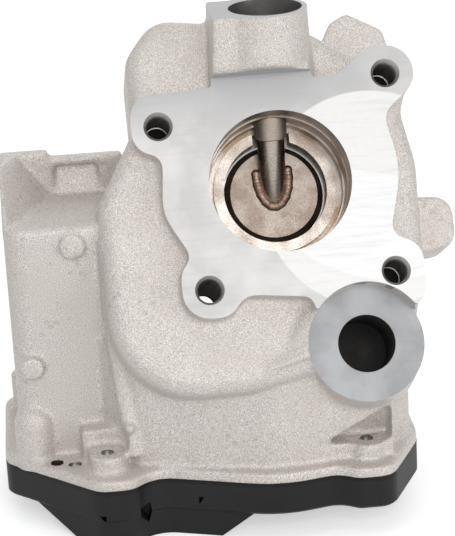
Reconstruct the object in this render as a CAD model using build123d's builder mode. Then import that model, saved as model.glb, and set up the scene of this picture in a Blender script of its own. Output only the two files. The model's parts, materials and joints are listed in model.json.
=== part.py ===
from build123d import *
import os
from math import acos, asin, cos, degrees, pi, radians, sin, tan

os.makedirs("parts", exist_ok=True)

# Motor-driven exhaust gas recirculation valve. Millimetres. +Z is the flap shaft's axis, pointing
# from the gear cover up to the capped bearing boss. The origin is the centre of the gas inlet bore
# on the machined inlet flange, which faces the front (-Y) and leans back by FLANGE_TILT.

# ---------------------------------------------------------------- driving dimensions
# Gas path
FLANGE_TILT = 28.0
SEAT_OUT_R = 18.0
SEAT_WALL = 3.0
INLET_STEP = 2.3
INLET_SEAT_DEPTH = 8.0
INLET_RELIEF = 0.3
INLET_DEPTH = 15.0
LEDGE_STEP = 1.5
LEDGE_DEPTH = 19.0
SEAT_TOP_DEPTH = 16.8
SEAT_END_DEPTH = 40.0
SEAT_NOTCH_W = 10.8
SEAT_NOTCH_DEPTH = 23.5
OUTLET_STEP = 0.5
OUTLET_BORE_L = 13.0
OUTLET_REACH = 16.0
OUTLET_WALL = 4.2
OUTLET_FLANGE_T = 8.0
OUTLET_BOLT_GAP = 11.0
OUTLET_LOBE_R = 7.5
OUTLET_BOLT_R = 4.25

# Inlet flange: bolt holes as (x, y) in the flange plane, y up the slope
PAD_T = 6.0
BOLTS = [(-33.2, 18.0), (32.7, 28.7), (30.2, -28.2), (-22.7, -29.6)]
BOLT_R = 4.0
BOLT_BLIND_DEPTH = 18.0

# Water jacket casting around the gas path
JACKET_DEPTH = 38.0
JACKET_ROUND = 5.0
GALLERY_R = 5.6
GALLERY_DEPTH = 17.0
GALLERY_TURNS = [(-24.0, -49.0), (-44.0, -30.0)]
GALLERY_BEND_R = 12.0
RING_X = 20.7
RING_Y = -47.5
RING_R = 16.3
RING_HOLE_R = 8.2
RING_HOLE_DEPTH = 20.0
RING_POCKET_GAP = 0.6
RING_SKIRT_DEPTH = 24.0
RING_DRAFT = 6.0
WATER_OUT_X = -37.0
WATER_OUT_Y = 2.0
WATER_OUT_BOSS_R = 8.5
WATER_OUT_BOSS_H = 4.0

# Flap and its skewed shaft
PIVOT_DEPTH = 25.0
DISC_GAP = 0.4
DISC_BEVEL_W = 1.8
DISC_FRONT_DEPTH = 22.0
DISC_T = 3.5
DISC_RIM_T = 1.2
SHAFT_R = 4.0
SHAFT_TOP_Z = 27.2
SHAFT_END_Z = -80.5
RUN_GAP = 0.05
SHAFT_ROOM = 0.6
BEAD_R = 1.1
BEAD_STEP = 0.5
BEAD_START = 172.0
BEAD_TURN = 196.0
CLIP_Z = 24.9
CLIP_T = 1.0
CLIP_IN_R = 3.3
CLIP_OUT_R = 5.6
CLIP_SLOT_W = 5.0

# Bearings, plug and seal on the flap shaft
BUSH_R = 4.7
UPPER_BUSH_Z = 6.3
UPPER_BUSH_L = 18.0
LOWER_BUSH_Z = -63.0
LOWER_BUSH_L = 24.0
SEAL_R = 7.0
SEAL_T = 4.0
TOP_BOSS_Z = 45.0
TOP_BOSS_R = 13.5
TOP_BOSS_SHIFT = -1.5
TOP_BOSS_FLAT_X = -16.0
TOP_BOSS_BASE_Z = 12.0
TOP_BOSS_DRAFT = 3.0
TOP_BORE_R = 10.6
TOP_BORE_L = 12.0
PLUG_R = 9.0
PLUG_SEAT_Z = 29.0
PLUG_T = 3.2
PLUG_WALL = 1.0
END_ROOM_R = 6.5
MILL_TOP_Y = 31.0

# Gear train: teeth and modules
PINION_TEETH = 16
WHEEL_TEETH = 66
FINE_MODULE = 0.7
IDLER_TEETH = 14
SECTOR_TEETH = 68
COARSE_MODULE = 0.8
PRESSURE_ANGLE = 20.0
BACKLASH = 0.16
ADDENDUM = 0.9
DEDENDUM = 1.25
SECTOR_CUT_TEETH = 25
SECTOR_LEAD_TEETH = 4
SECTOR_WINDOW_PCR = 16.5
SECTOR_WINDOW_R = 4.2
SECTOR_WINDOW_STEP = 42.0
SECTOR_Z = -77.0
SECTOR_T = 5.0
SECTOR_HUB_R = 7.0
SECTOR_HUB_Z = -80.0
WHEEL_Z = -85.0
WHEEL_T = 4.6
WHEEL_WEB_T = 2.4
WHEEL_RIM_W = 4.0
IDLER_TOP_Z = -71.6
IDLER_HUB_R = 4.4
IDLER_PIN_END_Z = -90.2
MAGNET_R = 4.4
MAGNET_T = 2.6
IDLER_PIN_R = 2.0
IDLER_PIN_TOP_Z = -67.0
PINION_Z = -85.4
PINION_T = 6.4

# Return spring round the lower bearing nose
SPRING_R = 10.2
SPRING_WIRE_R = 0.9
SPRING_PITCH = 2.1
SPRING_TURNS = 3.0
SPRING_TOP_Z = -61.2
SPRING_ROOM_R = 13.0
SPRING_ROOM_TOP_Z = -59.8
NOSE_R = 8.6
NOSE_END_Z = -68.0

# Gear case, rim and motor tower
SPLIT_Z = -84.0
RIM_T = 3.0
CASE_TOP_Z = -64.8
CEILING_Z = -70.0
CASE_WALL = 2.8
CORE_TOP_Z = -45.0
CORE_BACK_Y = 8.0
TOWER_TOP_Z = -11.0
TOWER_ROOF_T = 4.0
TOWER_RIGHT_X = -47.0
TOWER_FRONT_Y = 4.6
TOWER_BACK_Y = 39.8
TOWER_CORNER_R = 6.0
TOWER_TOP_ROUND = 1.5
GUSSET_W = 14.5
GUSSET_FRONT_Y = 8.0
GUSSET_RISE_Y = 27.0
GUSSET_TOP_Z = 2.0
BACK_WALL_Y = 37.5
BACK_WALL_T = 5.0
BACK_WALL_END_X = -43.0
BACK_WALL_TOP_Z = 0.0
POCKET_X = -57.0
POCKET_Z = -5.8
POCKET_W = 12.0
POCKET_H = 6.5
POCKET_D = 3.0
MOTOR_R = 14.8
MOTOR_GAP = 0.4
MOTOR_WALL = 2.2
CAN_TOP_Z = -17.0
CAN_WALL = 1.4
MOTOR_BUSH_R = 3.4
MOTOR_BUSH_L = 4.5
MOTOR_SHAFT_R = 1.6
MOTOR_PLATE_T = 1.6
MOTOR_EAR_R = 3.4
MAGNETS_LOW_Z = -56.0
MAGNETS_HIGH_Z = -26.0
MAGNET_SPLIT_W = 5.0
MOTOR_AIR_GAP = 0.5
ARMATURE_R = 9.6
ARMATURE_LOW_Z = -58.0
ARMATURE_HIGH_Z = -28.0
ARMATURE_SLOTS = 5
ARMATURE_SLOT_D = 2.4
ARMATURE_SLOT_W = 1.6
COMMUTATOR_R = 4.2
COMMUTATOR_L = 6.0
BRUSH_LOW_Z = -63.5
BRUSH_W = 3.6
BRUSH_H = 4.0
BRUSH_END_R = 10.0
BRUSH_GAP = 0.05
HOLDER_T = 3.0
HOLDER_WALL = 0.8
HOLDER_IN_R = 5.4
HOLDER_OUT_R = 12.4
DAMPER_OUT_R = 12.5
DAMPER_IN_R = 9.0
SCREW_DATUM_Z = -76.0
OPEN_BOSS_L = 13.0
BLIND_BOSS_TOP_Z = -70.5
MOTOR_SCREW_ANGLE = 35.0
MOTOR_SCREW_PCR = 18.0
MOTOR_SCREW_R = 1.25
MOTOR_SCREW_DEPTH = 4.0
MOTOR_HEAD_R = 2.6
MOTOR_HEAD_T = 1.8
SCREW_BOSS_R = 5.4
SCREW_HOLE_R = 1.9
SCREWS = [(-54.5, -7.0), (20.5, -12.5), (29.0, 46.0), (-14.0, 53.0), (-76.5, 46.0), (-75.5, 6.5)]
OPEN_SCREWS = 2
LEDGE_HOLES = [(-69.3, -0.5), (-64.1, -2.6)]

# Cover; notches as (x, z) points on its front, and how far in they go
COVER_SKIRT_H = 10.0
COVER_NOTCHES = [
    ([(-46.3, -91.1), (-43.2, -90.4), (-42.9, -94.2), (-44.0, -97.4), (-46.2, -94.6)], -8.0),
    ([(-58.3, -91.8), (-56.3, -91.8), (-56.5, -94.2)], -12.8),
    ([(-29.4, -89.2), (-27.7, -89.4), (-29.2, -91.7)], -12.6),
]
COVER_FLOOR_T = 2.2
COVER_EDGE_C = 0.8
BLOCK_H = 8.0
BLOCK_INSET = 1.2
BLOCK_ROOM_INSET = 2.6
BLOCK_PROFILE = [(-77.0, -93.5), (-65.0, -102.0), (-23.0, -102.0), (-13.0, -93.5)]
RIM_REACH = 90.0
DOME_X = 2.0
DOME_Y = 26.0
DOME_R = 14.0
SHROUD_X = -43.0
SHROUD_Z = -95.0
SHROUD_W = 26.0
SHROUD_H = 14.0
SHROUD_WALL = 1.8
SHROUD_CORNER_R = 3.0
SHROUD_ROOT_Y = 54.0
SHROUD_BACK_Y = 72.0
SOCKET_FLOOR_Y = 60.0
PIN_R = 0.6
PIN_PITCH = 4.0
PIN_COUNT = 5
PIN_ROOT_Y = 56.0
PIN_END_Y = 69.0
IDLER_BOSS_R = 4.0
IDLER_BOSS_TOP_Z = -88.5
BOARD_W = 26.0
BOARD_L = 22.0
BOARD_T = 1.2
BOARD_Z = -88.6
BOARD_POST_R = 1.5
CHIP_W = 6.0
CHIP_L = 5.0
CHIP_T = 1.4
GASKET_W = 1.8
GASKET_T = 1.5
GASKET_OFFSET = 0.8
SCREW_SHANK_R = 1.84
SCREW_HEAD_R = 3.5
SCREW_HEAD_T = 2.4
SCREW_SINK = 3.0
SCREW_HEAD_GAP = 0.6
SCREW_CLEAR_R = 2.2
SCREW_L = 13.5
SCREW_RECESS_R = 1.9
SCREW_RECESS_D = 1.2
DOWEL_DEPTH = 6.0

# ---------------------------------------------------------------- derived places
INLET_R = SEAT_OUT_R + INLET_STEP
LEDGE_R = SEAT_OUT_R + LEDGE_STEP
SEAT_IN_R = SEAT_OUT_R - SEAT_WALL
OUTLET_R = SEAT_OUT_R + OUTLET_STEP
OUTLET_DEPTH = JACKET_DEPTH + OUTLET_REACH
OUTLET_STEP_DEPTH = OUTLET_DEPTH - OUTLET_BORE_L
OUTLET_PCD = 2 * (SEAT_OUT_R + OUTLET_BOLT_GAP)
DISC_R = SEAT_IN_R - DISC_GAP
DISC_FACE_R = DISC_R - DISC_BEVEL_W
SLOPE = radians(FLANGE_TILT)
FLANGE = Plane(origin=(0, 0, 0), x_dir=(1, 0, 0), z_dir=(0, -cos(SLOPE), sin(SLOPE)))
SHAFT_Y = PIVOT_DEPTH * cos(SLOPE)
PIVOT_Z = -PIVOT_DEPTH * sin(SLOPE)
WHEEL_DISTANCE = FINE_MODULE * (PINION_TEETH + WHEEL_TEETH) / 2
SECTOR_DISTANCE = COARSE_MODULE * (IDLER_TEETH + SECTOR_TEETH) / 2
IDLER_X = -SECTOR_DISTANCE
MOTOR_X = IDLER_X - WHEEL_DISTANCE
COVER_Z = SPLIT_Z - COVER_SKIRT_H
MOTOR_BORE_R = MOTOR_R + MOTOR_GAP
TOWER_LEFT_X = MOTOR_X - MOTOR_BORE_R - CASE_WALL
CAVITY_LEFT_X = TOWER_LEFT_X + CASE_WALL
MOTOR_SCREWS = [
    (MOTOR_X + MOTOR_SCREW_PCR * cos(radians(angle)), SHAFT_Y + MOTOR_SCREW_PCR * sin(radians(angle)))
    for angle in (-MOTOR_SCREW_ANGLE, MOTOR_SCREW_ANGLE)
]


def at_depth(depth):
    """Plane parallel to the inlet flange, this far into the casting."""
    return FLANGE.offset(-depth)


def corners(points):
    """Split (x, y, radius) rows into points and radii."""
    return [(x, y) for x, y, r in points], [r for x, y, r in points]


def rounded_face(points):
    """Closed outline with a radius at each corner."""
    places, radii = corners(points)
    with BuildSketch() as face:
        with BuildLine():
            FilletPolyline(*places, radius=radii, close=True)
        make_face()
    return face.sketch


# ---------------------------------------------------------------- outlines: (x, y, corner radius)
# Machined inlet face, with a lobe round each bolt hole
PAD_OUTLINE = [
    (-38.6, 27.1, 4.0), (19.5, 29.4, 9.0), (28.0, 36.9, 7.0), (40.9, 36.9, 8.0),
    (40.9, 25.3, 7.0), (31.0, 17.0, 5.5), (34.6, 1.0, 30.0), (29.6, -17.8, 4.0),
    (38.4, -21.0, 6.5), (38.4, -36.0, 8.0), (30.0, -42.0, 2.0), (8.0, -42.0, 2.0),
    (5.6, -33.6, 2.5), (-13.0, -31.6, 5.5), (-17.2, -37.6, 6.5), (-30.4, -37.6, 7.6),
    (-30.4, -24.0, 6.0), (-26.8, -20.0, 3.5), (-34.0, -7.0, 14.0), (-32.6, 9.4, 4.0),
    (-40.9, 11.4, 6.5), (-40.9, 22.0, 8.0),
]
# Water jacket: a C round the left and bottom of the gas path, with a dome at the top left
JACKET_OUTLINE = [
    (-12.0, 49.0, 5.0), (-32.0, 51.5, 10.0), (-41.0, 40.0, 10.0), (-40.6, 18.5, 7.0),
    (-52.4, -2.5, 9.0), (-51.0, -58.4, 25.0), (-13.0, -58.6, 22.0), (12.0, -53.5, 4.0),
    (33.0, -52.5, 9.0), (39.8, -28.0, 9.0), (40.6, 4.0, 18.0), (37.6, 19.0, 7.0),
    (41.0, 29.0, 6.0), (38.5, 37.2, 6.0), (24.0, 37.5, 7.0), (13.0, 44.5, 5.0),
]
# Solid lug on the right and folded ear at the top right, both cast with the jacket
LUG_OUTLINE = [(36.0, -4.2, 1.0), (51.6, -5.0, 5.5), (51.6, -20.0, 5.0), (36.0, -21.5, 1.0)]
EAR_OUTLINE = [(18.0, 44.0, 1.0), (22.5, 52.5, 1.5), (27.5, 55.2, 2.5), (38.3, 49.2, 3.0),
               (39.6, 43.0, 2.0), (39.0, 34.0, 1.0)]
LUG_FRONT_DEPTH = 19.0
EAR_FRONT_DEPTH = 31.0
# Gear room, shared by the casting's recess and the cover's
CAVITY_OUTLINE = [
    (CAVITY_LEFT_X, 7.4, 8.0), (-53.5, 7.4, 3.0), (-44.0, -5.0, 5.0), (-24.0, -10.8, 14.0),
    (-7.0, -14.6, 16.0), (9.0, -13.4, 5.0), (14.2, -5.2, 4.0), (27.5, -4.6, 5.0),
    (33.4, 5.0, 6.0), (33.4, 37.0, 8.0), (19.5, 51.2, 10.0), (-54.0, 51.2, 11.0),
    (-60.0, 38.0, 4.0), (CAVITY_LEFT_X, 38.0, 9.0),
]
# Rim of the gear case, which the cover repeats
RIM_OUTLINE = [
    (-84.5, 8.6, 6.0), (-57.5, -17.2, 7.0), (-48.0, -17.2, 6.5), (-41.5, -10.0, 9.0),
    (-6.0, -22.6, 30.0), (11.0, -18.6, 7.0), (16.5, -22.4, 4.5), (26.5, -22.4, 6.0),
    (37.6, 0.0, 11.0), (37.6, 42.0, 13.0), (24.0, 57.6, 11.0), (-76.0, 57.6, 4.0),
    (-84.5, 50.0, 7.0),
]

# ---------------------------------------------------------------- shared solids
with BuildSketch() as cavity_plan:
    add(rounded_face(CAVITY_OUTLINE))

with BuildSketch() as case_plan:
    add(cavity_plan.sketch)
    offset(amount=CASE_WALL)

with BuildSketch() as gear_room_plan:
    add(cavity_plan.sketch)
    with Locations(SCREWS):
        Circle(SCREW_BOSS_R, mode=Mode.SUBTRACT)

with BuildSketch() as rim_plan:
    add(rounded_face(RIM_OUTLINE))

# Water gallery: from the ring port under the bolt lobe and up to the rear water outlet
with BuildPart() as gallery:
    with BuildLine(at_depth(GALLERY_DEPTH)) as gallery_path:
        FilletPolyline(
            (RING_X, RING_Y), *GALLERY_TURNS, (WATER_OUT_X, WATER_OUT_Y), radius=GALLERY_BEND_R,
        )
    with BuildSketch(Plane(gallery_path.line @ 0, z_dir=gallery_path.line % 0)):
        Circle(GALLERY_R)
    sweep(path=gallery_path.line)
    with BuildSketch(at_depth(GALLERY_DEPTH - GALLERY_R)):
        with Locations((WATER_OUT_X, WATER_OUT_Y)):
            Circle(GALLERY_R)
    extrude(amount=-(JACKET_DEPTH + WATER_OUT_BOSS_H + 1 - GALLERY_DEPTH + GALLERY_R))

# Space swept by the face mill in front of the inlet flange, which scallops the top boss
with BuildPart() as mill_sweep:
    with BuildSketch(FLANGE):
        with Locations((0, -20)):
            Rectangle(140, 2 * (MILL_TOP_Y + 20))
    extrude(amount=40)

# Tower over the motor, a rounded upright box
with BuildPart() as tower:
    with BuildSketch(Plane.XY.offset(SPLIT_Z)):
        add(rounded_face([
            (TOWER_LEFT_X, TOWER_FRONT_Y, TOWER_CORNER_R),
            (TOWER_RIGHT_X, TOWER_FRONT_Y, TOWER_CORNER_R),
            (TOWER_RIGHT_X, TOWER_BACK_Y, 2.0),
            (TOWER_LEFT_X, TOWER_BACK_Y, TOWER_CORNER_R),
        ]))
    extrude(amount=TOWER_TOP_Z - SPLIT_Z)
    fillet(tower.faces().sort_by(Axis.Z)[-1].edges(), TOWER_TOP_ROUND)

# Gusset that rises along the tower's left edge to a cored back wall
with BuildPart() as gusset:
    with BuildSketch(Plane.YZ.offset(TOWER_LEFT_X)):
        Polygon(
            (GUSSET_FRONT_Y, TOWER_TOP_Z), (GUSSET_RISE_Y, GUSSET_TOP_Z), (BACK_WALL_Y + BACK_WALL_T, GUSSET_TOP_Z),
            (BACK_WALL_Y + BACK_WALL_T, TOWER_TOP_Z - 3), (GUSSET_FRONT_Y, TOWER_TOP_Z - 3), align=None,
        )
    extrude(amount=GUSSET_W)
    with BuildSketch(Plane.XY.offset(TOWER_TOP_Z - 3)):
        Polygon(
            (TOWER_LEFT_X + 1.5, GUSSET_FRONT_Y - 1), (TOWER_LEFT_X + GUSSET_W + 1, BACK_WALL_Y + 1),
            (TOWER_LEFT_X + GUSSET_W + 1, GUSSET_FRONT_Y - 1), align=None,
        )
    extrude(amount=GUSSET_TOP_Z - TOWER_TOP_Z + 4, mode=Mode.SUBTRACT)
    with BuildSketch(Plane.XY.offset(TOWER_TOP_Z - 3)):
        with Locations((TOWER_LEFT_X + GUSSET_W - 3, BACK_WALL_Y)):
            Rectangle(BACK_WALL_END_X - TOWER_LEFT_X - GUSSET_W + 3, BACK_WALL_T, align=(Align.MIN, Align.MIN))
    extrude(amount=BACK_WALL_TOP_Z - TOWER_TOP_Z + 3)
    with BuildSketch(Plane.XZ.offset(-BACK_WALL_Y)):
        with Locations((POCKET_X, POCKET_Z)):
            RectangleRounded(POCKET_W, POCKET_H, 1.5)
    extrude(amount=-POCKET_D, mode=Mode.SUBTRACT)

# ---------------------------------------------------------------- valve housing
with BuildPart() as valve_housing:
    # Water jacket, with the cast round along its front edge
    with BuildSketch(at_depth(PAD_T)):
        add(rounded_face(JACKET_OUTLINE))
    extrude(amount=PAD_T - JACKET_DEPTH)
    fillet(valve_housing.faces().sort_by(Axis((0, 0, 0), FLANGE.z_dir))[-1].edges(), JACKET_ROUND)

    # Inlet pad
    with BuildSketch(FLANGE):
        add(rounded_face(PAD_OUTLINE))
    extrude(amount=-(PAD_T + JACKET_ROUND + 1))

    # Skirt of the ring port, drafted outward
    with BuildSketch(at_depth(PAD_T)):
        with Locations((RING_X, RING_Y)):
            Circle(RING_R)
    extrude(amount=-RING_SKIRT_DEPTH, taper=-RING_DRAFT)

    # Lug and ear
    for outline, front in ((LUG_OUTLINE, LUG_FRONT_DEPTH), (EAR_OUTLINE, EAR_FRONT_DEPTH)):
        with BuildSketch(at_depth(front)):
            add(rounded_face(outline))
        extrude(amount=front - JACKET_DEPTH)

    # Gas outlet pipe and its three-lobed flange
    with BuildSketch(at_depth(JACKET_DEPTH - 1)):
        Circle(SEAT_OUT_R + OUTLET_WALL)
    extrude(amount=JACKET_DEPTH - 1 - OUTLET_DEPTH)
    with BuildSketch(at_depth(OUTLET_DEPTH)):
        with PolarLocations(OUTLET_PCD / 2, 3, start_angle=90):
            Circle(OUTLET_LOBE_R)
        make_hull()
        Circle(SEAT_OUT_R + OUTLET_WALL + 2)
    extrude(amount=OUTLET_FLANGE_T)
    with BuildSketch(at_depth(JACKET_DEPTH - 1)):
        with Locations((WATER_OUT_X, WATER_OUT_Y)):
            Circle(WATER_OUT_BOSS_R)
    extrude(amount=-1 - WATER_OUT_BOSS_H)

    # Bearing boss at the top, round with one flat side
    with BuildSketch(Plane.XY.offset(TOP_BOSS_Z)):
        with Locations((TOP_BOSS_SHIFT, SHAFT_Y)):
            Circle(TOP_BOSS_R)
        with Locations((TOP_BOSS_FLAT_X / 2, SHAFT_Y)):
            Rectangle(-TOP_BOSS_FLAT_X, 2 * TOP_BOSS_R - 5)
    extrude(amount=TOP_BOSS_BASE_Z - TOP_BOSS_Z, taper=-TOP_BOSS_DRAFT)

    # Gear case: low roof over the gears, higher front wall up to the jacket
    with BuildSketch(Plane.XY.offset(SPLIT_Z)):
        add(case_plan.sketch)
    extrude(amount=CASE_TOP_Z - SPLIT_Z)
    with BuildSketch(Plane.XY.offset(CASE_TOP_Z - 1)):
        add(case_plan.sketch)
        with Locations((0, CORE_BACK_Y)):
            Rectangle(2 * RIM_REACH, RIM_REACH, align=(Align.CENTER, Align.MAX), mode=Mode.INTERSECT)
    extrude(amount=CORE_TOP_Z - CASE_TOP_Z + 1)
    with BuildSketch(Plane.XY.offset(SPLIT_Z)):
        add(rim_plan.sketch)
    extrude(amount=RIM_T)

    # Lower bearing boss behind the gas path
    with BuildSketch(Plane.XY.offset(CASE_TOP_Z - 1)):
        with Locations((0, SHAFT_Y)):
            Circle(SPRING_ROOM_R + CASE_WALL)
    extrude(amount=SPRING_ROOM_TOP_Z - CASE_TOP_Z + 1 + CASE_WALL)
    with BuildSketch(Plane.XY.offset(SPRING_ROOM_TOP_Z)):
        with Locations((0, SHAFT_Y)):
            Circle(BUSH_R + 2 * CASE_WALL)
    extrude(amount=22)

    # Motor tower, with the barrel round the motor's bore, its gusset and back wall
    with BuildSketch(Plane.XY.offset(SPLIT_Z)):
        with Locations((MOTOR_X, SHAFT_Y)):
            Circle(MOTOR_BORE_R + MOTOR_WALL)
    extrude(amount=TOWER_TOP_Z - TOWER_TOP_ROUND - SPLIT_Z)
    add(tower.part)
    add(gusset.part)

    # Screw bosses of the cover: two open ones, joined to the wall behind, and four blind ones
    with BuildSketch(Plane.XY.offset(SPLIT_Z)):
        for x, y in SCREWS[:OPEN_SCREWS]:
            with Locations((x, y)):
                Circle(SCREW_BOSS_R)
                Rectangle(2 * SCREW_BOSS_R, OPEN_BOSS_L, align=(Align.CENTER, Align.MIN))
    extrude(amount=SCREW_DATUM_Z - SPLIT_Z)
    with BuildSketch(Plane.XY.offset(SPLIT_Z)):
        with Locations(SCREWS[OPEN_SCREWS:]):
            Circle(SCREW_BOSS_R)
    extrude(amount=BLIND_BOSS_TOP_Z - SPLIT_Z)

    # Machining: milled inlet face, ring port pocket, gas path and bolt holes
    add(mill_sweep.part, mode=Mode.SUBTRACT)
    with BuildSketch(at_depth(-1)):
        with Locations((RING_X, RING_Y)):
            Circle(RING_R + RING_POCKET_GAP)
    extrude(amount=-PAD_T - 1, mode=Mode.SUBTRACT)
    for radius, start, end in (
        (INLET_R, 0, INLET_SEAT_DEPTH),
        (INLET_R - INLET_RELIEF, 0, INLET_DEPTH),
        (LEDGE_R, 0, LEDGE_DEPTH),
        (SEAT_OUT_R, 0, OUTLET_STEP_DEPTH),
        (OUTLET_R, OUTLET_STEP_DEPTH, OUTLET_DEPTH + 1),
    ):
        with BuildSketch(at_depth(start)):
            Circle(radius)
        extrude(amount=start - end, mode=Mode.SUBTRACT)
    with BuildSketch(FLANGE):
        with Locations(BOLTS[:-1]):
            Circle(BOLT_R)
    extrude(amount=-BOLT_BLIND_DEPTH, mode=Mode.SUBTRACT)
    with BuildSketch(FLANGE):
        with Locations(BOLTS[-1]):
            Circle(BOLT_R)
    extrude(amount=-JACKET_DEPTH - 1, mode=Mode.SUBTRACT)
    with BuildSketch(at_depth(OUTLET_DEPTH)):
        with PolarLocations(OUTLET_PCD / 2, 3, start_angle=90):
            Circle(OUTLET_BOLT_R)
    extrude(amount=OUTLET_FLANGE_T + 4, mode=Mode.SUBTRACT)
    with BuildSketch(at_depth(PAD_T)):
        with Locations((RING_X, RING_Y)):
            Circle(RING_HOLE_R)
    extrude(amount=-RING_HOLE_DEPTH, mode=Mode.SUBTRACT)
    add(gallery.part, mode=Mode.SUBTRACT)

    # Bearing bores, plug seat and open mouth of the top boss, all on the shaft's axis
    for radius, low, high in (
        (TOP_BORE_R, TOP_BOSS_Z - TOP_BORE_L, TOP_BOSS_Z),
        (PLUG_R, PLUG_SEAT_Z, TOP_BOSS_Z),
        (END_ROOM_R, UPPER_BUSH_Z + UPPER_BUSH_L, TOP_BOSS_Z),
        (BUSH_R, LOWER_BUSH_Z, UPPER_BUSH_Z + UPPER_BUSH_L),
        (SEAL_R, NOSE_END_Z, LOWER_BUSH_Z),
    ):
        with BuildSketch(Plane.XY.offset(low)):
            with Locations((0, SHAFT_Y)):
                Circle(radius)
        extrude(amount=high - low, mode=Mode.SUBTRACT)

    # Gear room with its spring room, motor bore and screw holes, all open below
    with BuildSketch(Plane.XY.offset(SPLIT_Z)):
        add(gear_room_plan.sketch)
    extrude(amount=CEILING_Z - SPLIT_Z, mode=Mode.SUBTRACT)
    with BuildSketch(Plane.XY.offset(NOSE_END_Z)):
        with Locations((0, SHAFT_Y)):
            Circle(SPRING_ROOM_R)
            Circle(NOSE_R, mode=Mode.SUBTRACT)
    extrude(amount=SPRING_ROOM_TOP_Z - NOSE_END_Z, mode=Mode.SUBTRACT)
    with BuildSketch(Plane.XY.offset(CEILING_Z)):
        with Locations((0, SHAFT_Y)):
            Circle(SPRING_ROOM_R)
    extrude(amount=NOSE_END_Z - CEILING_Z, mode=Mode.SUBTRACT)
    with BuildSketch(Plane.XY.offset(CEILING_Z - 1)):
        with Locations((MOTOR_X, SHAFT_Y)):
            Circle(MOTOR_BORE_R)
    extrude(amount=TOWER_TOP_Z - TOWER_ROOF_T - CEILING_Z + 1, mode=Mode.SUBTRACT)
    with BuildSketch(Plane.XY.offset(CEILING_Z)):
        with Locations((IDLER_X, SHAFT_Y)):
            Circle(IDLER_PIN_R)
    extrude(amount=IDLER_PIN_TOP_Z - CEILING_Z, mode=Mode.SUBTRACT)
    with BuildSketch(Plane.XY.offset(CEILING_Z)):
        with Locations(MOTOR_SCREWS):
            Circle(MOTOR_SCREW_R)
    extrude(amount=MOTOR_SCREW_DEPTH, mode=Mode.SUBTRACT)
    with BuildSketch(Plane.XY.offset(SPLIT_Z)):
        with Locations(SCREWS[:OPEN_SCREWS]):
            Circle(SCREW_HOLE_R)
    extrude(amount=SCREW_DATUM_Z - SPLIT_Z, mode=Mode.SUBTRACT)
    with BuildSketch(Plane.XY.offset(SPLIT_Z)):
        with Locations(SCREWS[OPEN_SCREWS:]):
            Circle(SCREW_HOLE_R)
    extrude(amount=BLIND_BOSS_TOP_Z - SPLIT_Z - 2, mode=Mode.SUBTRACT)
    with BuildSketch(Plane.XY.offset(SPLIT_Z)):
        with Locations(LEDGE_HOLES):
            Circle(SCREW_HOLE_R)
    extrude(amount=RIM_T + 1, mode=Mode.SUBTRACT)
valve_housing.part.label = "valve_housing"
export_step(valve_housing.part, "parts/valve_housing.step")

# ---------------------------------------------------------------- gas path: seat, bushes, seal, plug
# Pressed stainless seat tube, notched at the top and drilled at the bottom for the shaft
with BuildPart() as seat_ring:
    with BuildSketch(at_depth(SEAT_TOP_DEPTH)):
        Circle(SEAT_OUT_R)
        Circle(SEAT_IN_R, mode=Mode.SUBTRACT)
    extrude(amount=SEAT_TOP_DEPTH - SEAT_END_DEPTH)
    with BuildSketch(at_depth(SEAT_TOP_DEPTH)):
        with Locations((0, SEAT_OUT_R)):
            Rectangle(SEAT_NOTCH_W, 2 * (SEAT_OUT_R - SEAT_IN_R) + 4)
    extrude(amount=SEAT_TOP_DEPTH - SEAT_NOTCH_DEPTH, mode=Mode.SUBTRACT)
    with BuildSketch(Plane.XY.offset(PIVOT_Z)):
        with Locations((0, SHAFT_Y)):
            Circle(SHAFT_R + SHAFT_ROOM)
    extrude(amount=-2 * SEAT_OUT_R, mode=Mode.SUBTRACT)
seat_ring.part.label = "seat_ring"
export_step(seat_ring.part, "parts/seat_ring.step")


def sleeve(low, high, outer, inner, x=0.0):
    """Plain round sleeve on the shaft's axis, or on a parallel one at x."""
    with BuildPart() as tube:
        with BuildSketch(Plane.XY.offset(low)):
            with Locations((x, SHAFT_Y)):
                Circle(outer)
                Circle(inner, mode=Mode.SUBTRACT)
        extrude(amount=high - low)
    return tube.part


with BuildPart() as upper_bush:
    add(sleeve(UPPER_BUSH_Z, UPPER_BUSH_Z + UPPER_BUSH_L, BUSH_R, SHAFT_R + RUN_GAP))
    chamfer(upper_bush.edges().filter_by(GeomType.CIRCLE).group_by(Axis.Z)[0].sort_by(SortBy.RADIUS)[-1], 0.3)
upper_bush.part.label = "upper_bush"
export_step(upper_bush.part, "parts/upper_bush.step")

with BuildPart() as lower_bush:
    add(sleeve(LOWER_BUSH_Z, LOWER_BUSH_Z + LOWER_BUSH_L, BUSH_R, SHAFT_R + RUN_GAP))
    chamfer(lower_bush.edges().filter_by(GeomType.CIRCLE).group_by(Axis.Z)[-1].sort_by(SortBy.RADIUS)[-1], 0.3)
lower_bush.part.label = "lower_bush"
export_step(lower_bush.part, "parts/lower_bush.step")

# Lip seal in the nose under the lower bush
with BuildPart() as shaft_seal:
    add(sleeve(LOWER_BUSH_Z - SEAL_T, LOWER_BUSH_Z, SEAL_R, SHAFT_R + RUN_GAP))
    with BuildSketch(Plane.XY.offset(LOWER_BUSH_Z - SEAL_T)):
        with Locations((0, SHAFT_Y)):
            Circle(SEAL_R - 1.2)
            Circle(SHAFT_R + 1.0, mode=Mode.SUBTRACT)
    extrude(amount=SEAL_T - 1.2, mode=Mode.SUBTRACT)
shaft_seal.part.label = "shaft_seal"
export_step(shaft_seal.part, "parts/shaft_seal.step")

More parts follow.
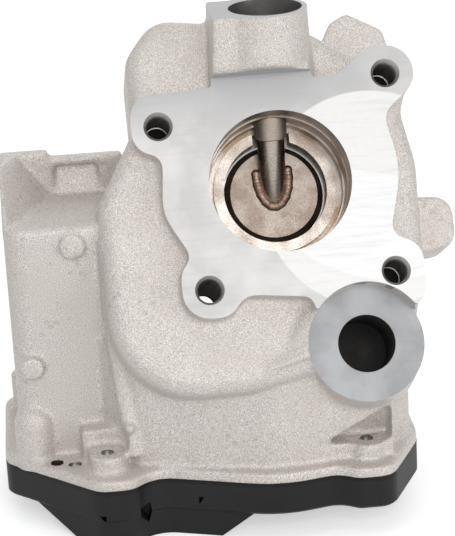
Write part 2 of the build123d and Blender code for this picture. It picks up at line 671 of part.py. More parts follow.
# Pressed steel plug over the shaft's end, a shallow cup open upward
with BuildPart() as bearing_plug:
    with BuildSketch(Plane.XY.offset(PLUG_SEAT_Z)):
        with Locations((0, SHAFT_Y)):
            Circle(PLUG_R)
    extrude(amount=PLUG_T)
    chamfer(bearing_plug.edges().sort_by(Axis.Z)[0], PLUG_WALL / 2)
    with BuildSketch(Plane.XY.offset(PLUG_SEAT_Z + PLUG_WALL)):
        with Locations((0, SHAFT_Y)):
            Circle(PLUG_R - PLUG_WALL)
    extrude(amount=PLUG_T - PLUG_WALL, mode=Mode.SUBTRACT)
bearing_plug.part.label = "bearing_plug"
export_step(bearing_plug.part, "parts/bearing_plug.step")

# ---------------------------------------------------------------- flap, shaft and weld
ACROSS = Plane(origin=(0, 0, 0), x_dir=(1, 0, 0), z_dir=Vector(1, 0, 0).cross(FLANGE.z_dir))
SHAFT_CUT_R = SHAFT_R / sin(SLOPE)
WELD_Y = (PIVOT_DEPTH - DISC_FRONT_DEPTH) / tan(SLOPE)

# Thick disc with a bevelled front rim, bored at a slant for the shaft
with BuildPart() as flap_disc:
    with BuildSketch(ACROSS):
        Polygon(
            (0, -DISC_FRONT_DEPTH), (DISC_FACE_R, -DISC_FRONT_DEPTH),
            (DISC_R, -DISC_FRONT_DEPTH - DISC_T + DISC_RIM_T), (DISC_R, -DISC_FRONT_DEPTH - DISC_T),
            (0, -DISC_FRONT_DEPTH - DISC_T), align=None,
        )
    revolve(axis=Axis((0, 0, 0), tuple(FLANGE.z_dir)))
    with BuildSketch(Plane.XY.offset(PIVOT_Z - 3 * SHAFT_CUT_R)):
        with Locations((0, SHAFT_Y)):
            Circle(SHAFT_R)
    extrude(amount=6 * SHAFT_CUT_R, mode=Mode.SUBTRACT)
flap_disc.part.label = "flap_disc"
export_step(flap_disc.part, "parts/flap_disc.step")

# One straight shaft from the clip in the top boss down to the sector gear and its magnet
with BuildPart() as flap_shaft:
    with BuildSketch(Plane.XY.offset(SHAFT_END_Z)):
        with Locations((0, SHAFT_Y)):
            Circle(SHAFT_R)
    extrude(amount=SHAFT_TOP_Z - SHAFT_END_Z)
    chamfer(flap_shaft.edges().filter_by(GeomType.CIRCLE), 0.4)
    with BuildSketch(Plane.XY.offset(CLIP_Z)):
        with Locations((0, SHAFT_Y)):
            Circle(SHAFT_R + 1)
            Circle(CLIP_IN_R, mode=Mode.SUBTRACT)
    extrude(amount=CLIP_T, mode=Mode.SUBTRACT)
flap_shaft.part.label = "flap_shaft"
export_step(flap_shaft.part, "parts/flap_shaft.step")

# Snap ring in the shaft's top groove, over the upper bush
with BuildPart() as shaft_clip:
    add(sleeve(CLIP_Z, CLIP_Z + CLIP_T, CLIP_OUT_R, CLIP_IN_R))
    with BuildSketch(Plane.XY.offset(CLIP_Z)):
        with Locations((0, SHAFT_Y)):
            Rectangle(2 * CLIP_OUT_R, CLIP_SLOT_W, align=(Align.MIN, Align.CENTER))
    extrude(amount=CLIP_T, mode=Mode.SUBTRACT)
shaft_clip.part.label = "shaft_clip"
export_step(shaft_clip.part, "parts/shaft_clip.step")

# Weld bead round the slanted joint on the disc's front face
with BuildPart() as weld_bead:
    with BuildLine(at_depth(DISC_FRONT_DEPTH)) as bead_path:
        EllipticalCenterArc(
            (0, WELD_Y), SHAFT_R + BEAD_STEP, SHAFT_CUT_R + BEAD_STEP, BEAD_START, arc_size=BEAD_TURN,
        )
    with BuildSketch(Plane(bead_path.line @ 0, z_dir=bead_path.line % 0)):
        RegularPolygon(BEAD_R, 8)
    sweep(path=bead_path.line)
    with BuildSketch(at_depth(DISC_FRONT_DEPTH)):
        Circle(DISC_R)
    extrude(amount=-2 * BEAD_R, mode=Mode.SUBTRACT)
    with BuildSketch(Plane.XY.offset(PIVOT_Z - 2 * SHAFT_CUT_R)):
        with Locations((0, SHAFT_Y)):
            Circle(SHAFT_R)
    extrude(amount=4 * SHAFT_CUT_R, mode=Mode.SUBTRACT)
weld_bead.part.label = "weld_bead"
export_step(weld_bead.part, "parts/weld_bead.step")

# ---------------------------------------------------------------- gear train


def involute(angle):
    """Involute function of a pressure angle in radians."""
    return tan(angle) - angle


def tooth_points(module, teeth, centre_angle):
    """One tooth from root to root: straight below the base circle, involute above it."""
    pitch_r = module * teeth / 2
    base_r = pitch_r * cos(radians(PRESSURE_ANGLE))
    root_r = pitch_r - DEDENDUM * module
    tip_r = pitch_r + ADDENDUM * module
    half_pitch = pi / (2 * teeth) - BACKLASH / (2 * pitch_r)
    flank = []
    for radius in (max(base_r, root_r), pitch_r, tip_r):
        spread = half_pitch + involute(radians(PRESSURE_ANGLE)) - involute(acos(base_r / radius))
        flank.append((radius, spread))
    flank.insert(0, (root_r, flank[0][1]))
    rising = [(radius, centre_angle - spread) for radius, spread in flank]
    falling = [(radius, centre_angle + spread) for radius, spread in reversed(flank)]
    return [(radius * cos(angle), radius * sin(angle)) for radius, angle in rising + falling]


def toothed_outline(module, teeth, first_angle, count):
    """Points round a row of teeth, the first one centred at first_angle in degrees."""
    points = []
    for tooth in range(count):
        points += tooth_points(module, teeth, radians(first_angle + 360 / teeth * tooth))
    return points


# Sector gear on the flap shaft: a toothed arc with a window, and a hub pressed on the shaft
SECTOR_STEP = 360 / SECTOR_TEETH
SECTOR_FIRST = 180 - SECTOR_STEP * (SECTOR_CUT_TEETH - SECTOR_LEAD_TEETH)
SECTOR_MIDDLE = SECTOR_FIRST + SECTOR_STEP * (SECTOR_CUT_TEETH - 1) / 2
with BuildPart() as sector_gear:
    with BuildSketch(Plane.XY.offset(SECTOR_Z)):
        with Locations((0, SHAFT_Y)):
            Polygon(
                *toothed_outline(COARSE_MODULE, SECTOR_TEETH, SECTOR_FIRST, SECTOR_CUT_TEETH), (0, 0),
                align=None,
            )
            Circle(SECTOR_HUB_R + 2)
    extrude(amount=SECTOR_T)
    with BuildSketch(Plane.XY.offset(SECTOR_Z)):
        with Locations((0, SHAFT_Y)):
            with PolarLocations(SECTOR_WINDOW_PCR, 3, SECTOR_MIDDLE - SECTOR_WINDOW_STEP, 2 * SECTOR_WINDOW_STEP,
                                endpoint=True):
                Circle(SECTOR_WINDOW_R)
    extrude(amount=SECTOR_T, mode=Mode.SUBTRACT)
    add(sleeve(SECTOR_HUB_Z, SECTOR_Z + SECTOR_T + 1.0, SECTOR_HUB_R, SHAFT_R))
    with BuildSketch(Plane.XY.offset(SECTOR_HUB_Z)):
        with Locations((0, SHAFT_Y)):
            Circle(SHAFT_R)
    extrude(amount=2 * SECTOR_T, mode=Mode.SUBTRACT)
sector_gear.part.label = "sector_gear"
export_step(sector_gear.part, "parts/sector_gear.step")

# Magnet under the shaft's end, read by the position sensor
with BuildPart() as sensor_magnet:
    with BuildSketch(Plane.XY.offset(SHAFT_END_Z)):
        with Locations((0, SHAFT_Y)):
            Circle(MAGNET_R)
    extrude(amount=-MAGNET_T)
    chamfer(sensor_magnet.edges().sort_by(Axis.Z)[0], 0.4)
sensor_magnet.part.label = "sensor_magnet"
export_step(sensor_magnet.part, "parts/sensor_magnet.step")

# Moulded idler wheel with a thin web
with BuildPart() as idler_wheel:
    with BuildSketch(Plane.XY.offset(WHEEL_Z)):
        with Locations((IDLER_X, SHAFT_Y)):
            Polygon(*toothed_outline(FINE_MODULE, WHEEL_TEETH, 180, WHEEL_TEETH), align=None)
            Circle(IDLER_HUB_R, mode=Mode.SUBTRACT)
    extrude(amount=WHEEL_T)
    with BuildSketch(Plane.XY.offset(WHEEL_Z), Plane.XY.offset(WHEEL_Z + WHEEL_T)):
        with Locations((IDLER_X, SHAFT_Y)):
            Circle(FINE_MODULE * WHEEL_TEETH / 2 - WHEEL_RIM_W)
            Circle(IDLER_HUB_R + 2, mode=Mode.SUBTRACT)
    extrude(amount=(WHEEL_T - WHEEL_WEB_T) / 2, both=True, mode=Mode.SUBTRACT)
idler_wheel.part.label = "idler_wheel"
export_step(idler_wheel.part, "parts/idler_wheel.step")

# Steel idler pinion moulded into the wheel, bored for its fixed pin
with BuildPart() as idler_pinion:
    with BuildSketch(Plane.XY.offset(WHEEL_Z + WHEEL_T)):
        with Locations((IDLER_X, SHAFT_Y)):
            Polygon(
                *toothed_outline(COARSE_MODULE, IDLER_TEETH, 180 / IDLER_TEETH, IDLER_TEETH), align=None,
            )
    extrude(amount=IDLER_TOP_Z - WHEEL_Z - WHEEL_T)
    with BuildSketch(Plane.XY.offset(WHEEL_Z)):
        with Locations((IDLER_X, SHAFT_Y)):
            Circle(IDLER_HUB_R)
    extrude(amount=WHEEL_T)
    with BuildSketch(Plane.XY.offset(WHEEL_Z)):
        with Locations((IDLER_X, SHAFT_Y)):
            Circle(IDLER_PIN_R + RUN_GAP)
    extrude(amount=IDLER_TOP_Z - WHEEL_Z, mode=Mode.SUBTRACT)
idler_pinion.part.label = "idler_pinion"
export_step(idler_pinion.part, "parts/idler_pinion.step")

# Fixed pin of the idler, pressed into the casting and steadied by the cover
with BuildPart() as idler_pin:
    with BuildSketch(Plane.XY.offset(IDLER_PIN_TOP_Z)):
        with Locations((IDLER_X, SHAFT_Y)):
            Circle(IDLER_PIN_R)
    extrude(amount=IDLER_PIN_END_Z - IDLER_PIN_TOP_Z)
    chamfer(idler_pin.edges().filter_by(GeomType.CIRCLE), 0.3)
idler_pin.part.label = "idler_pin"
export_step(idler_pin.part, "parts/idler_pin.step")

# Return spring, coiled round the nose of the lower bearing
SPRING_H = SPRING_PITCH * SPRING_TURNS
with BuildPart() as return_spring:
    with BuildLine() as spring_path:
        Helix(SPRING_PITCH, SPRING_H, SPRING_R, center=(0, SHAFT_Y, SPRING_TOP_Z - SPRING_H))
    with BuildSketch(Plane(spring_path.line @ 0, z_dir=spring_path.line % 0)):
        RegularPolygon(SPRING_WIRE_R, 6)
    sweep(path=spring_path.line, is_frenet=True)
return_spring.part.label = "return_spring"
export_step(return_spring.part, "parts/return_spring.step")

# ---------------------------------------------------------------- motor


def motor_sleeve(low, high, outer, inner):
    """Round sleeve on the motor's axis."""
    return sleeve(low, high, outer, inner, MOTOR_X)


def motor_disc(low, high, radius):
    """Round disc on the motor's axis."""
    with BuildPart() as disc:
        with BuildSketch(Plane.XY.offset(low)):
            with Locations((MOTOR_X, SHAFT_Y)):
                Circle(radius)
        extrude(amount=high - low)
    return disc.part


# Drawn steel can with a bearing cup in its closed top
with BuildPart() as motor_can:
    add(motor_disc(CEILING_Z, CAN_TOP_Z, MOTOR_R))
    chamfer(motor_can.edges().filter_by(GeomType.CIRCLE).sort_by(Axis.Z)[-1], CAN_WALL / 2)
    add(motor_disc(CEILING_Z, CAN_TOP_Z - CAN_WALL, MOTOR_R - CAN_WALL), mode=Mode.SUBTRACT)
    add(motor_disc(CAN_TOP_Z - MOTOR_BUSH_L, CAN_TOP_Z, MOTOR_BUSH_R + 1))
    add(motor_disc(CAN_TOP_Z - MOTOR_BUSH_L, CAN_TOP_Z - CAN_WALL / 2, MOTOR_BUSH_R), mode=Mode.SUBTRACT)
motor_can.part.label = "motor_can"
export_step(motor_can.part, "parts/motor_can.step")

with BuildPart() as motor_top_bush:
    add(motor_sleeve(CAN_TOP_Z - MOTOR_BUSH_L, CAN_TOP_Z - CAN_WALL / 2, MOTOR_BUSH_R, MOTOR_SHAFT_R + RUN_GAP))
motor_top_bush.part.label = "motor_top_bush"
export_step(motor_top_bush.part, "parts/motor_top_bush.step")

# Two arc magnets bonded inside the can
with BuildPart() as motor_magnets:
    add(motor_sleeve(MAGNETS_LOW_Z, MAGNETS_HIGH_Z, MOTOR_R - CAN_WALL, ARMATURE_R + MOTOR_AIR_GAP))
    with BuildSketch(Plane.XY.offset(MAGNETS_LOW_Z)):
        with Locations((MOTOR_X, SHAFT_Y)):
            Rectangle(2 * MOTOR_R, MAGNET_SPLIT_W)
    extrude(amount=MAGNETS_HIGH_Z - MAGNETS_LOW_Z, mode=Mode.SUBTRACT)
motor_magnets.part.label = "motor_magnets"
export_step(motor_magnets.part, "parts/motor_magnets.step")

# Front plate with two screw ears, which hangs the motor from the gear room's ceiling
with BuildPart() as motor_plate:
    with BuildSketch(Plane.XY.offset(CEILING_Z)):
        with Locations((MOTOR_X, SHAFT_Y)):
            Circle(MOTOR_R - 0.2)
        with Locations(MOTOR_SCREWS):
            Circle(MOTOR_EAR_R)
        make_hull()
        with Locations((MOTOR_X, SHAFT_Y)):
            Circle(MOTOR_BUSH_R, mode=Mode.SUBTRACT)
        with Locations(MOTOR_SCREWS):
            Circle(MOTOR_SCREW_R + 0.2, mode=Mode.SUBTRACT)
    extrude(amount=-MOTOR_PLATE_T)
motor_plate.part.label = "motor_plate"
export_step(motor_plate.part, "parts/motor_plate.step")

with BuildPart() as motor_front_bush:
    add(motor_sleeve(CEILING_Z - MOTOR_PLATE_T, CEILING_Z + 2, MOTOR_BUSH_R, MOTOR_SHAFT_R + RUN_GAP))
motor_front_bush.part.label = "motor_front_bush"
export_step(motor_front_bush.part, "parts/motor_front_bush.step")

# Rotor: shaft, wound armature with its slots, commutator and pinion
with BuildPart() as motor_shaft:
    add(motor_disc(PINION_Z - 0.6, CAN_TOP_Z - CAN_WALL / 2 - 0.3, MOTOR_SHAFT_R))
    chamfer(motor_shaft.edges().filter_by(GeomType.CIRCLE), 0.2)
motor_shaft.part.label = "motor_shaft"
export_step(motor_shaft.part, "parts/motor_shaft.step")

with BuildPart() as motor_armature:
    add(motor_sleeve(ARMATURE_LOW_Z, ARMATURE_HIGH_Z, ARMATURE_R, MOTOR_SHAFT_R))
    with BuildSketch(Plane.XY.offset(ARMATURE_LOW_Z)):
        with Locations((MOTOR_X, SHAFT_Y)):
            with PolarLocations(ARMATURE_R - ARMATURE_SLOT_D / 2, ARMATURE_SLOTS):
                Rectangle(ARMATURE_SLOT_D + 1, ARMATURE_SLOT_W)
    extrude(amount=ARMATURE_HIGH_Z - ARMATURE_LOW_Z, mode=Mode.SUBTRACT)
motor_armature.part.label = "motor_armature"
export_step(motor_armature.part, "parts/motor_armature.step")

with BuildPart() as motor_commutator:
    add(motor_sleeve(ARMATURE_LOW_Z - COMMUTATOR_L, ARMATURE_LOW_Z, COMMUTATOR_R, MOTOR_SHAFT_R))
motor_commutator.part.label = "motor_commutator"
export_step(motor_commutator.part, "parts/motor_commutator.step")

with BuildPart() as motor_pinion:
    with BuildSketch(Plane.XY.offset(PINION_Z)):
        with Locations((MOTOR_X, SHAFT_Y)):
            Polygon(
                *toothed_outline(FINE_MODULE, PINION_TEETH, 180 / PINION_TEETH, PINION_TEETH), align=None,
            )
            Circle(MOTOR_SHAFT_R, mode=Mode.SUBTRACT)
    extrude(amount=PINION_T)
motor_pinion.part.label = "motor_pinion"
export_step(motor_pinion.part, "parts/motor_pinion.step")

# Rubber ring that damps the can against the tower's roof
with BuildPart() as motor_damper:
    add(motor_sleeve(CAN_TOP_Z, TOWER_TOP_Z - TOWER_ROOF_T, DAMPER_OUT_R, DAMPER_IN_R))
motor_damper.part.label = "motor_damper"
export_step(motor_damper.part, "parts/motor_damper.step")

# Plastic brush holder in the can's open end, with two carbon brushes on the commutator
with BuildPart() as brush_holder:
    add(motor_sleeve(CEILING_Z, CEILING_Z + HOLDER_T, MOTOR_R - CAN_WALL, MOTOR_BUSH_R))
    with BuildSketch(Plane.XY.offset(CEILING_Z + HOLDER_T)):
        with Locations((MOTOR_X, SHAFT_Y)):
            with PolarLocations((HOLDER_IN_R + HOLDER_OUT_R) / 2, 2):
                Rectangle(HOLDER_OUT_R - HOLDER_IN_R, BRUSH_W + 2 * HOLDER_WALL)
    extrude(amount=BRUSH_LOW_Z + BRUSH_H + HOLDER_WALL - CEILING_Z - HOLDER_T)
    with BuildSketch(Plane.XY.offset(BRUSH_LOW_Z)):
        with Locations((MOTOR_X, SHAFT_Y)):
            with PolarLocations((HOLDER_IN_R + BRUSH_END_R) / 2, 2):
                Rectangle(BRUSH_END_R - HOLDER_IN_R, BRUSH_W)
    extrude(amount=BRUSH_H, mode=Mode.SUBTRACT)
brush_holder.part.label = "brush_holder"
export_step(brush_holder.part, "parts/brush_holder.step")

with BuildPart() as motor_brushes:
    with BuildSketch(Plane.XY.offset(BRUSH_LOW_Z)):
        with Locations((MOTOR_X, SHAFT_Y)):
            with PolarLocations((COMMUTATOR_R + BRUSH_END_R) / 2, 2):
                Rectangle(BRUSH_END_R - COMMUTATOR_R, BRUSH_W)
            Circle(COMMUTATOR_R + BRUSH_GAP, mode=Mode.SUBTRACT)
    extrude(amount=BRUSH_H)
motor_brushes.part.label = "motor_brushes"
export_step(motor_brushes.part, "parts/motor_brushes.step")

with BuildPart() as motor_screws:
    with BuildSketch(Plane.XY.offset(CEILING_Z - MOTOR_PLATE_T)):
        with Locations(MOTOR_SCREWS):
            Circle(MOTOR_SCREW_R)
    extrude(amount=MOTOR_PLATE_T + MOTOR_SCREW_DEPTH - 0.5)
    with BuildSketch(Plane.XY.offset(CEILING_Z - MOTOR_PLATE_T)):
        with Locations(MOTOR_SCREWS):
            Circle(MOTOR_HEAD_R)
    extrude(amount=-MOTOR_HEAD_T)
    with BuildSketch(Plane.XY.offset(CEILING_Z - MOTOR_PLATE_T - MOTOR_HEAD_T)):
        with Locations(MOTOR_SCREWS):
            RegularPolygon(MOTOR_HEAD_R / 2, 6)
    extrude(amount=MOTOR_HEAD_T / 2, mode=Mode.SUBTRACT)
motor_screws.part.label = "motor_screws"
export_step(motor_screws.part, "parts/motor_screws.step")

# ---------------------------------------------------------------- cover
COVER_FLOOR_Z = COVER_Z + COVER_FLOOR_T
BLOCK_FLOOR_Z = COVER_FLOOR_Z - BLOCK_H

# Deeper block under the motor and idler, with sloping ends, and the room inside it
with BuildPart() as cover_block:
    with BuildSketch(Plane.XY.offset(COVER_Z - BLOCK_H)):
        add(rim_plan.sketch)
        offset(amount=-BLOCK_INSET)
    extrude(amount=BLOCK_H + 1)
    with BuildSketch(Plane.XZ):
        Polygon(*BLOCK_PROFILE, align=None)
    extrude(amount=RIM_REACH, both=True, mode=Mode.INTERSECT)

with BuildPart() as block_room:
    with BuildSketch(Plane.XY.offset(BLOCK_FLOOR_Z)):
        add(gear_room_plan.sketch)
    extrude(amount=BLOCK_H)
    with BuildSketch(Plane.XZ):
        Polygon(*[(x + BLOCK_ROOM_INSET, z + COVER_FLOOR_T) for x, z in BLOCK_PROFILE[:2]],
                *[(x - BLOCK_ROOM_INSET, z + COVER_FLOOR_T) for x, z in BLOCK_PROFILE[2:]], align=None)
    extrude(amount=RIM_REACH, both=True, mode=Mode.INTERSECT)

with BuildPart() as gear_cover:
    with BuildSketch(Plane.XY.offset(COVER_Z)):
        add(rim_plan.sketch)
    extrude(amount=COVER_SKIRT_H)
    chamfer(gear_cover.faces().sort_by(Axis.Z)[0].edges(), COVER_EDGE_C)
    add(cover_block.part)
    with BuildSketch(Plane.XY.offset(COVER_Z - BLOCK_H)):
        with Locations((DOME_X, DOME_Y)):
            Circle(DOME_R)
    extrude(amount=BLOCK_H + 1)
    # Connector shroud, standing out at the back
    with BuildSketch(Plane.XZ.offset(-SHROUD_BACK_Y)):
        with Locations((SHROUD_X, SHROUD_Z)):
            RectangleRounded(SHROUD_W, SHROUD_H, SHROUD_CORNER_R)
    extrude(amount=SHROUD_BACK_Y - SHROUD_ROOT_Y)
    # Notches that the mould's slides leave in the front
    for outline, back_y in COVER_NOTCHES:
        with BuildSketch(Plane.XZ.offset(-back_y)):
            Polygon(*outline, align=None)
        extrude(amount=back_y + RIM_REACH, mode=Mode.SUBTRACT)
    # Gear room, the rooms in the block and dome, and the socket
    with BuildSketch(Plane.XY.offset(COVER_FLOOR_Z)):
        add(gear_room_plan.sketch)
    extrude(amount=SPLIT_Z - COVER_FLOOR_Z, mode=Mode.SUBTRACT)
    add(block_room.part, mode=Mode.SUBTRACT)
    with BuildSketch(Plane.XY.offset(BLOCK_FLOOR_Z)):
        with Locations((DOME_X, DOME_Y)):
            Circle(DOME_R - COVER_FLOOR_T)
    extrude(amount=BLOCK_H, mode=Mode.SUBTRACT)
    with BuildSketch(Plane.XZ.offset(-SHROUD_BACK_Y)):
        with Locations((SHROUD_X, SHROUD_Z)):
            RectangleRounded(SHROUD_W - 2 * SHROUD_WALL, SHROUD_H - 2 * SHROUD_WALL, SHROUD_CORNER_R / 2)
    extrude(amount=SHROUD_BACK_Y - SOCKET_FLOOR_Y, mode=Mode.SUBTRACT)
    with BuildSketch(Plane.XZ.offset(-SOCKET_FLOOR_Y)):
        with Locations((SHROUD_X, SHROUD_Z)):
            with GridLocations(PIN_PITCH, 1, PIN_COUNT, 1):
                Circle(PIN_R)
    extrude(amount=SOCKET_FLOOR_Y - PIN_ROOT_Y, mode=Mode.SUBTRACT)
    # Boss for the idler's pin, posts for the sensor board, rubber groove, screw holes
    with BuildSketch(Plane.XY.offset(BLOCK_FLOOR_Z)):
        with Locations((IDLER_X, SHAFT_Y)):
            Circle(IDLER_BOSS_R)
    extrude(amount=IDLER_BOSS_TOP_Z - BLOCK_FLOOR_Z)
    with BuildSketch(Plane.XY.offset(IDLER_PIN_END_Z - 0.4)):
        with Locations((IDLER_X, SHAFT_Y)):
            Circle(IDLER_PIN_R)
    extrude(amount=2 * RIM_T, mode=Mode.SUBTRACT)
    with BuildSketch(Plane.XY.offset(COVER_FLOOR_Z)):
        with Locations((0, SHAFT_Y)):
            with GridLocations(BOARD_W - 4, BOARD_L - 4, 2, 2):
                Circle(BOARD_POST_R)
    extrude(amount=BOARD_Z - COVER_FLOOR_Z)
    with BuildSketch(Plane.XY.offset(SPLIT_Z)):
        add(gear_room_plan.sketch)
        offset(amount=GASKET_OFFSET + GASKET_W)
        with BuildSketch(mode=Mode.SUBTRACT):
            add(gear_room_plan.sketch)
            offset(amount=GASKET_OFFSET)
    extrude(amount=-GASKET_T, mode=Mode.SUBTRACT)
    with BuildSketch(Plane.XY.offset(SPLIT_Z)):
        with Locations(SCREWS):
            Circle(SCREW_CLEAR_R)
    extrude(amount=COVER_Z + SCREW_SINK - SPLIT_Z, mode=Mode.SUBTRACT)
    with BuildSketch(Plane.XY.offset(COVER_Z + SCREW_SINK)):
        with Locations(SCREWS):
            Circle(SCREW_HEAD_R + SCREW_HEAD_GAP)
    extrude(amount=-SCREW_SINK - BLOCK_H, mode=Mode.SUBTRACT)
    with BuildSketch(Plane.XY.offset(SPLIT_Z)):
        with Locations(LEDGE_HOLES[1]):
            Circle(SCREW_SHANK_R)
    extrude(amount=-DOWEL_DEPTH, mode=Mode.SUBTRACT)
gear_cover.part.label = "gear_cover"
export_step(gear_cover.part, "parts/gear_cover.step")

# Rubber cord in the cover's groove, flush with the parting face
with BuildPart() as cover_gasket:
    with BuildSketch(Plane.XY.offset(SPLIT_Z - GASKET_T)):
        add(gear_room_plan.sketch)
        offset(amount=GASKET_OFFSET + GASKET_W)
        with BuildSketch(mode=Mode.SUBTRACT):
            add(gear_room_plan.sketch)
            offset(amount=GASKET_OFFSET)
    extrude(amount=GASKET_T)
cover_gasket.part.label = "cover_gasket"
export_step(cover_gasket.part, "parts/cover_gasket.step")

# Six flat-head screws with hexagonal recesses, driven up through the cover
with BuildPart() as cover_screws:
    with BuildSketch(Plane.XY.offset(COVER_Z + SCREW_SINK)):
        with Locations(SCREWS):
            Circle(SCREW_SHANK_R)
    extrude(amount=SCREW_L)
    with BuildSketch(Plane.XY.offset(COVER_Z + SCREW_SINK)):
        with Locations(SCREWS):
            Circle(SCREW_HEAD_R)
    extrude(amount=-SCREW_HEAD_T)
    with BuildSketch(Plane.XY.offset(COVER_Z + SCREW_SINK - SCREW_HEAD_T)):
        with Locations(SCREWS):
            RegularPolygon(SCREW_RECESS_R, 6)
    extrude(amount=SCREW_RECESS_D, mode=Mode.SUBTRACT)
cover_screws.part.label = "cover_screws"
export_step(cover_screws.part, "parts/cover_screws.step")

with BuildPart() as cover_dowel:
    with BuildSketch(Plane.XY.offset(SPLIT_Z - DOWEL_DEPTH)):
        with Locations(LEDGE_HOLES[1]):
            Circle(SCREW_SHANK_R)
    extrude(amount=DOWEL_DEPTH + RIM_T - 0.8)
    chamfer(cover_dowel.edges().filter_by(GeomType.CIRCLE), 0.3)
cover_dowel.part.label = "cover_dowel"
export_step(cover_dowel.part, "parts/cover_dowel.step")

# ---------------------------------------------------------------- connector and position sensor
with BuildPart() as connector_pins:
    with BuildSketch(Plane.XZ.offset(-PIN_ROOT_Y)):
        with Locations((SHROUD_X, SHROUD_Z)):
            with GridLocations(PIN_PITCH, 1, PIN_COUNT, 1):
                Circle(PIN_R)
    extrude(amount=PIN_ROOT_Y - PIN_END_Y)
connector_pins.part.label = "connector_pins"
export_step(connector_pins.part, "parts/connector_pins.step")

with BuildPart() as sensor_board:
    with BuildSketch(Plane.XY.offset(BOARD_Z)):
        with Locations((0, SHAFT_Y)):
            RectangleRounded(BOARD_W, BOARD_L, BOARD_POST_R)
    extrude(amount=BOARD_T)
sensor_board.part.label = "sensor_board"
export_step(sensor_board.part, "parts/sensor_board.step")

with BuildPart() as position_sensor:
    with BuildSketch(Plane.XY.offset(BOARD_Z + BOARD_T)):
        with Locations((0, SHAFT_Y)):
            Rectangle(CHIP_W, CHIP_L)
    extrude(amount=CHIP_T)
    chamfer(position_sensor.faces().sort_by(Axis.Z)[-1].edges(), 0.25)
position_sensor.part.label = "position_sensor"
export_step(position_sensor.part, "parts/position_sensor.step")
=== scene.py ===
import bmesh
import bpy
import json
from math import cos, sin, radians
from mathutils import Matrix, Vector

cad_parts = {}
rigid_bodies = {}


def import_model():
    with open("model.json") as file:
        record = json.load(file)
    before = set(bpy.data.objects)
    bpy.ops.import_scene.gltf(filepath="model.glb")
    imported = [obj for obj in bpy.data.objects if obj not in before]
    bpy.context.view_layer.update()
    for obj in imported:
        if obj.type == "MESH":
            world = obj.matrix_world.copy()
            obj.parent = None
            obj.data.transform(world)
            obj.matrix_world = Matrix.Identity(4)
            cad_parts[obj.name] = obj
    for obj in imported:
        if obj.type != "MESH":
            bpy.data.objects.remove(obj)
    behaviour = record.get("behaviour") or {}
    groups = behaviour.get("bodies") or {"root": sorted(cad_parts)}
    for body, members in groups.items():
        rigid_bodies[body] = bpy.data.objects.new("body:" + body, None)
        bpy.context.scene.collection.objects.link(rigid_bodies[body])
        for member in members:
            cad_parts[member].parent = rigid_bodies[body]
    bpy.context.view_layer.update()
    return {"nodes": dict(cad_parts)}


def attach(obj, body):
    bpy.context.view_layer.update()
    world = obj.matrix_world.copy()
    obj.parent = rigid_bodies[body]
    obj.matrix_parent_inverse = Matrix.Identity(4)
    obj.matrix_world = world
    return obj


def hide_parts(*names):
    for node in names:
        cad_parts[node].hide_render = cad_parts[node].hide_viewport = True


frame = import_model()
scene = bpy.context.scene
scene.view_settings.view_transform = "Standard"

# ---- Camera: a long lens in front, a little to the left, 20 degrees above level, rolled 3 degrees
camera_place = Vector((-0.06209582, -0.56885134, 0.18272824))
camera_turn, camera_tilt, camera_roll = radians(-4.6), radians(70), radians(-3)
camera_data = bpy.data.cameras.new("camera")
camera_data.lens = 142.7
camera_data.clip_start = 0.01
camera = bpy.data.objects.new("camera", camera_data)
scene.collection.objects.link(camera)
camera.matrix_world = (
    Matrix.Translation(camera_place) @ Matrix.Rotation(camera_turn, 4, "Z")
    @ Matrix.Rotation(camera_tilt, 4, "X") @ Matrix.Rotation(camera_roll, 4, "Z")
)
scene.camera = camera

# ---- Studio: pale floor under the cover, white surround, large soft lamps above and in front
floor_z, floor_gap, floor_size = -0.102, 0.0002, 6.0
floor_lift, room_light, background_light = 0.50, 0.42, 1.0
bpy.ops.object.select_all(action="DESELECT")
bpy.ops.mesh.primitive_plane_add(size=floor_size, location=(0, 0, floor_z - floor_gap))
floor = bpy.context.active_object
floor.name = "floor"
floor_paint = bpy.data.materials.new("floor_paint")
floor_paint.use_nodes = True
nodes, links = floor_paint.node_tree.nodes, floor_paint.node_tree.links
nodes.clear()
paint = nodes.new("ShaderNodeBsdfPrincipled")
paint.inputs["Base Color"].default_value = (0.90, 0.90, 0.90, 1)
paint.inputs["Roughness"].default_value = 0.9
glow = nodes.new("ShaderNodeEmission")


def ray_that_sees(nodes, links):
    """1 for camera, glossy and transmission rays, which see the plain background, else 0."""
    ray = nodes.new("ShaderNodeLightPath")
    seen = ray.outputs["Is Camera Ray"]
    for kind in ("Is Glossy Ray", "Is Transmission Ray"):
        either = nodes.new("ShaderNodeMath")
        either.operation = "MAXIMUM"
        links.new(seen, either.inputs[0])
        links.new(ray.outputs[kind], either.inputs[1])
        seen = either.outputs[0]
    return seen


seen = ray_that_sees(nodes, links)
lift = nodes.new("ShaderNodeMath")
lift.operation = "MULTIPLY"
lift.inputs[1].default_value = floor_lift
links.new(seen, lift.inputs[0])
links.new(lift.outputs[0], glow.inputs["Strength"])
both = nodes.new("ShaderNodeAddShader")
links.new(paint.outputs[0], both.inputs[0])
links.new(glow.outputs[0], both.inputs[1])
links.new(both.outputs[0], nodes.new("ShaderNodeOutputMaterial").inputs["Surface"])
floor.data.materials.append(floor_paint)

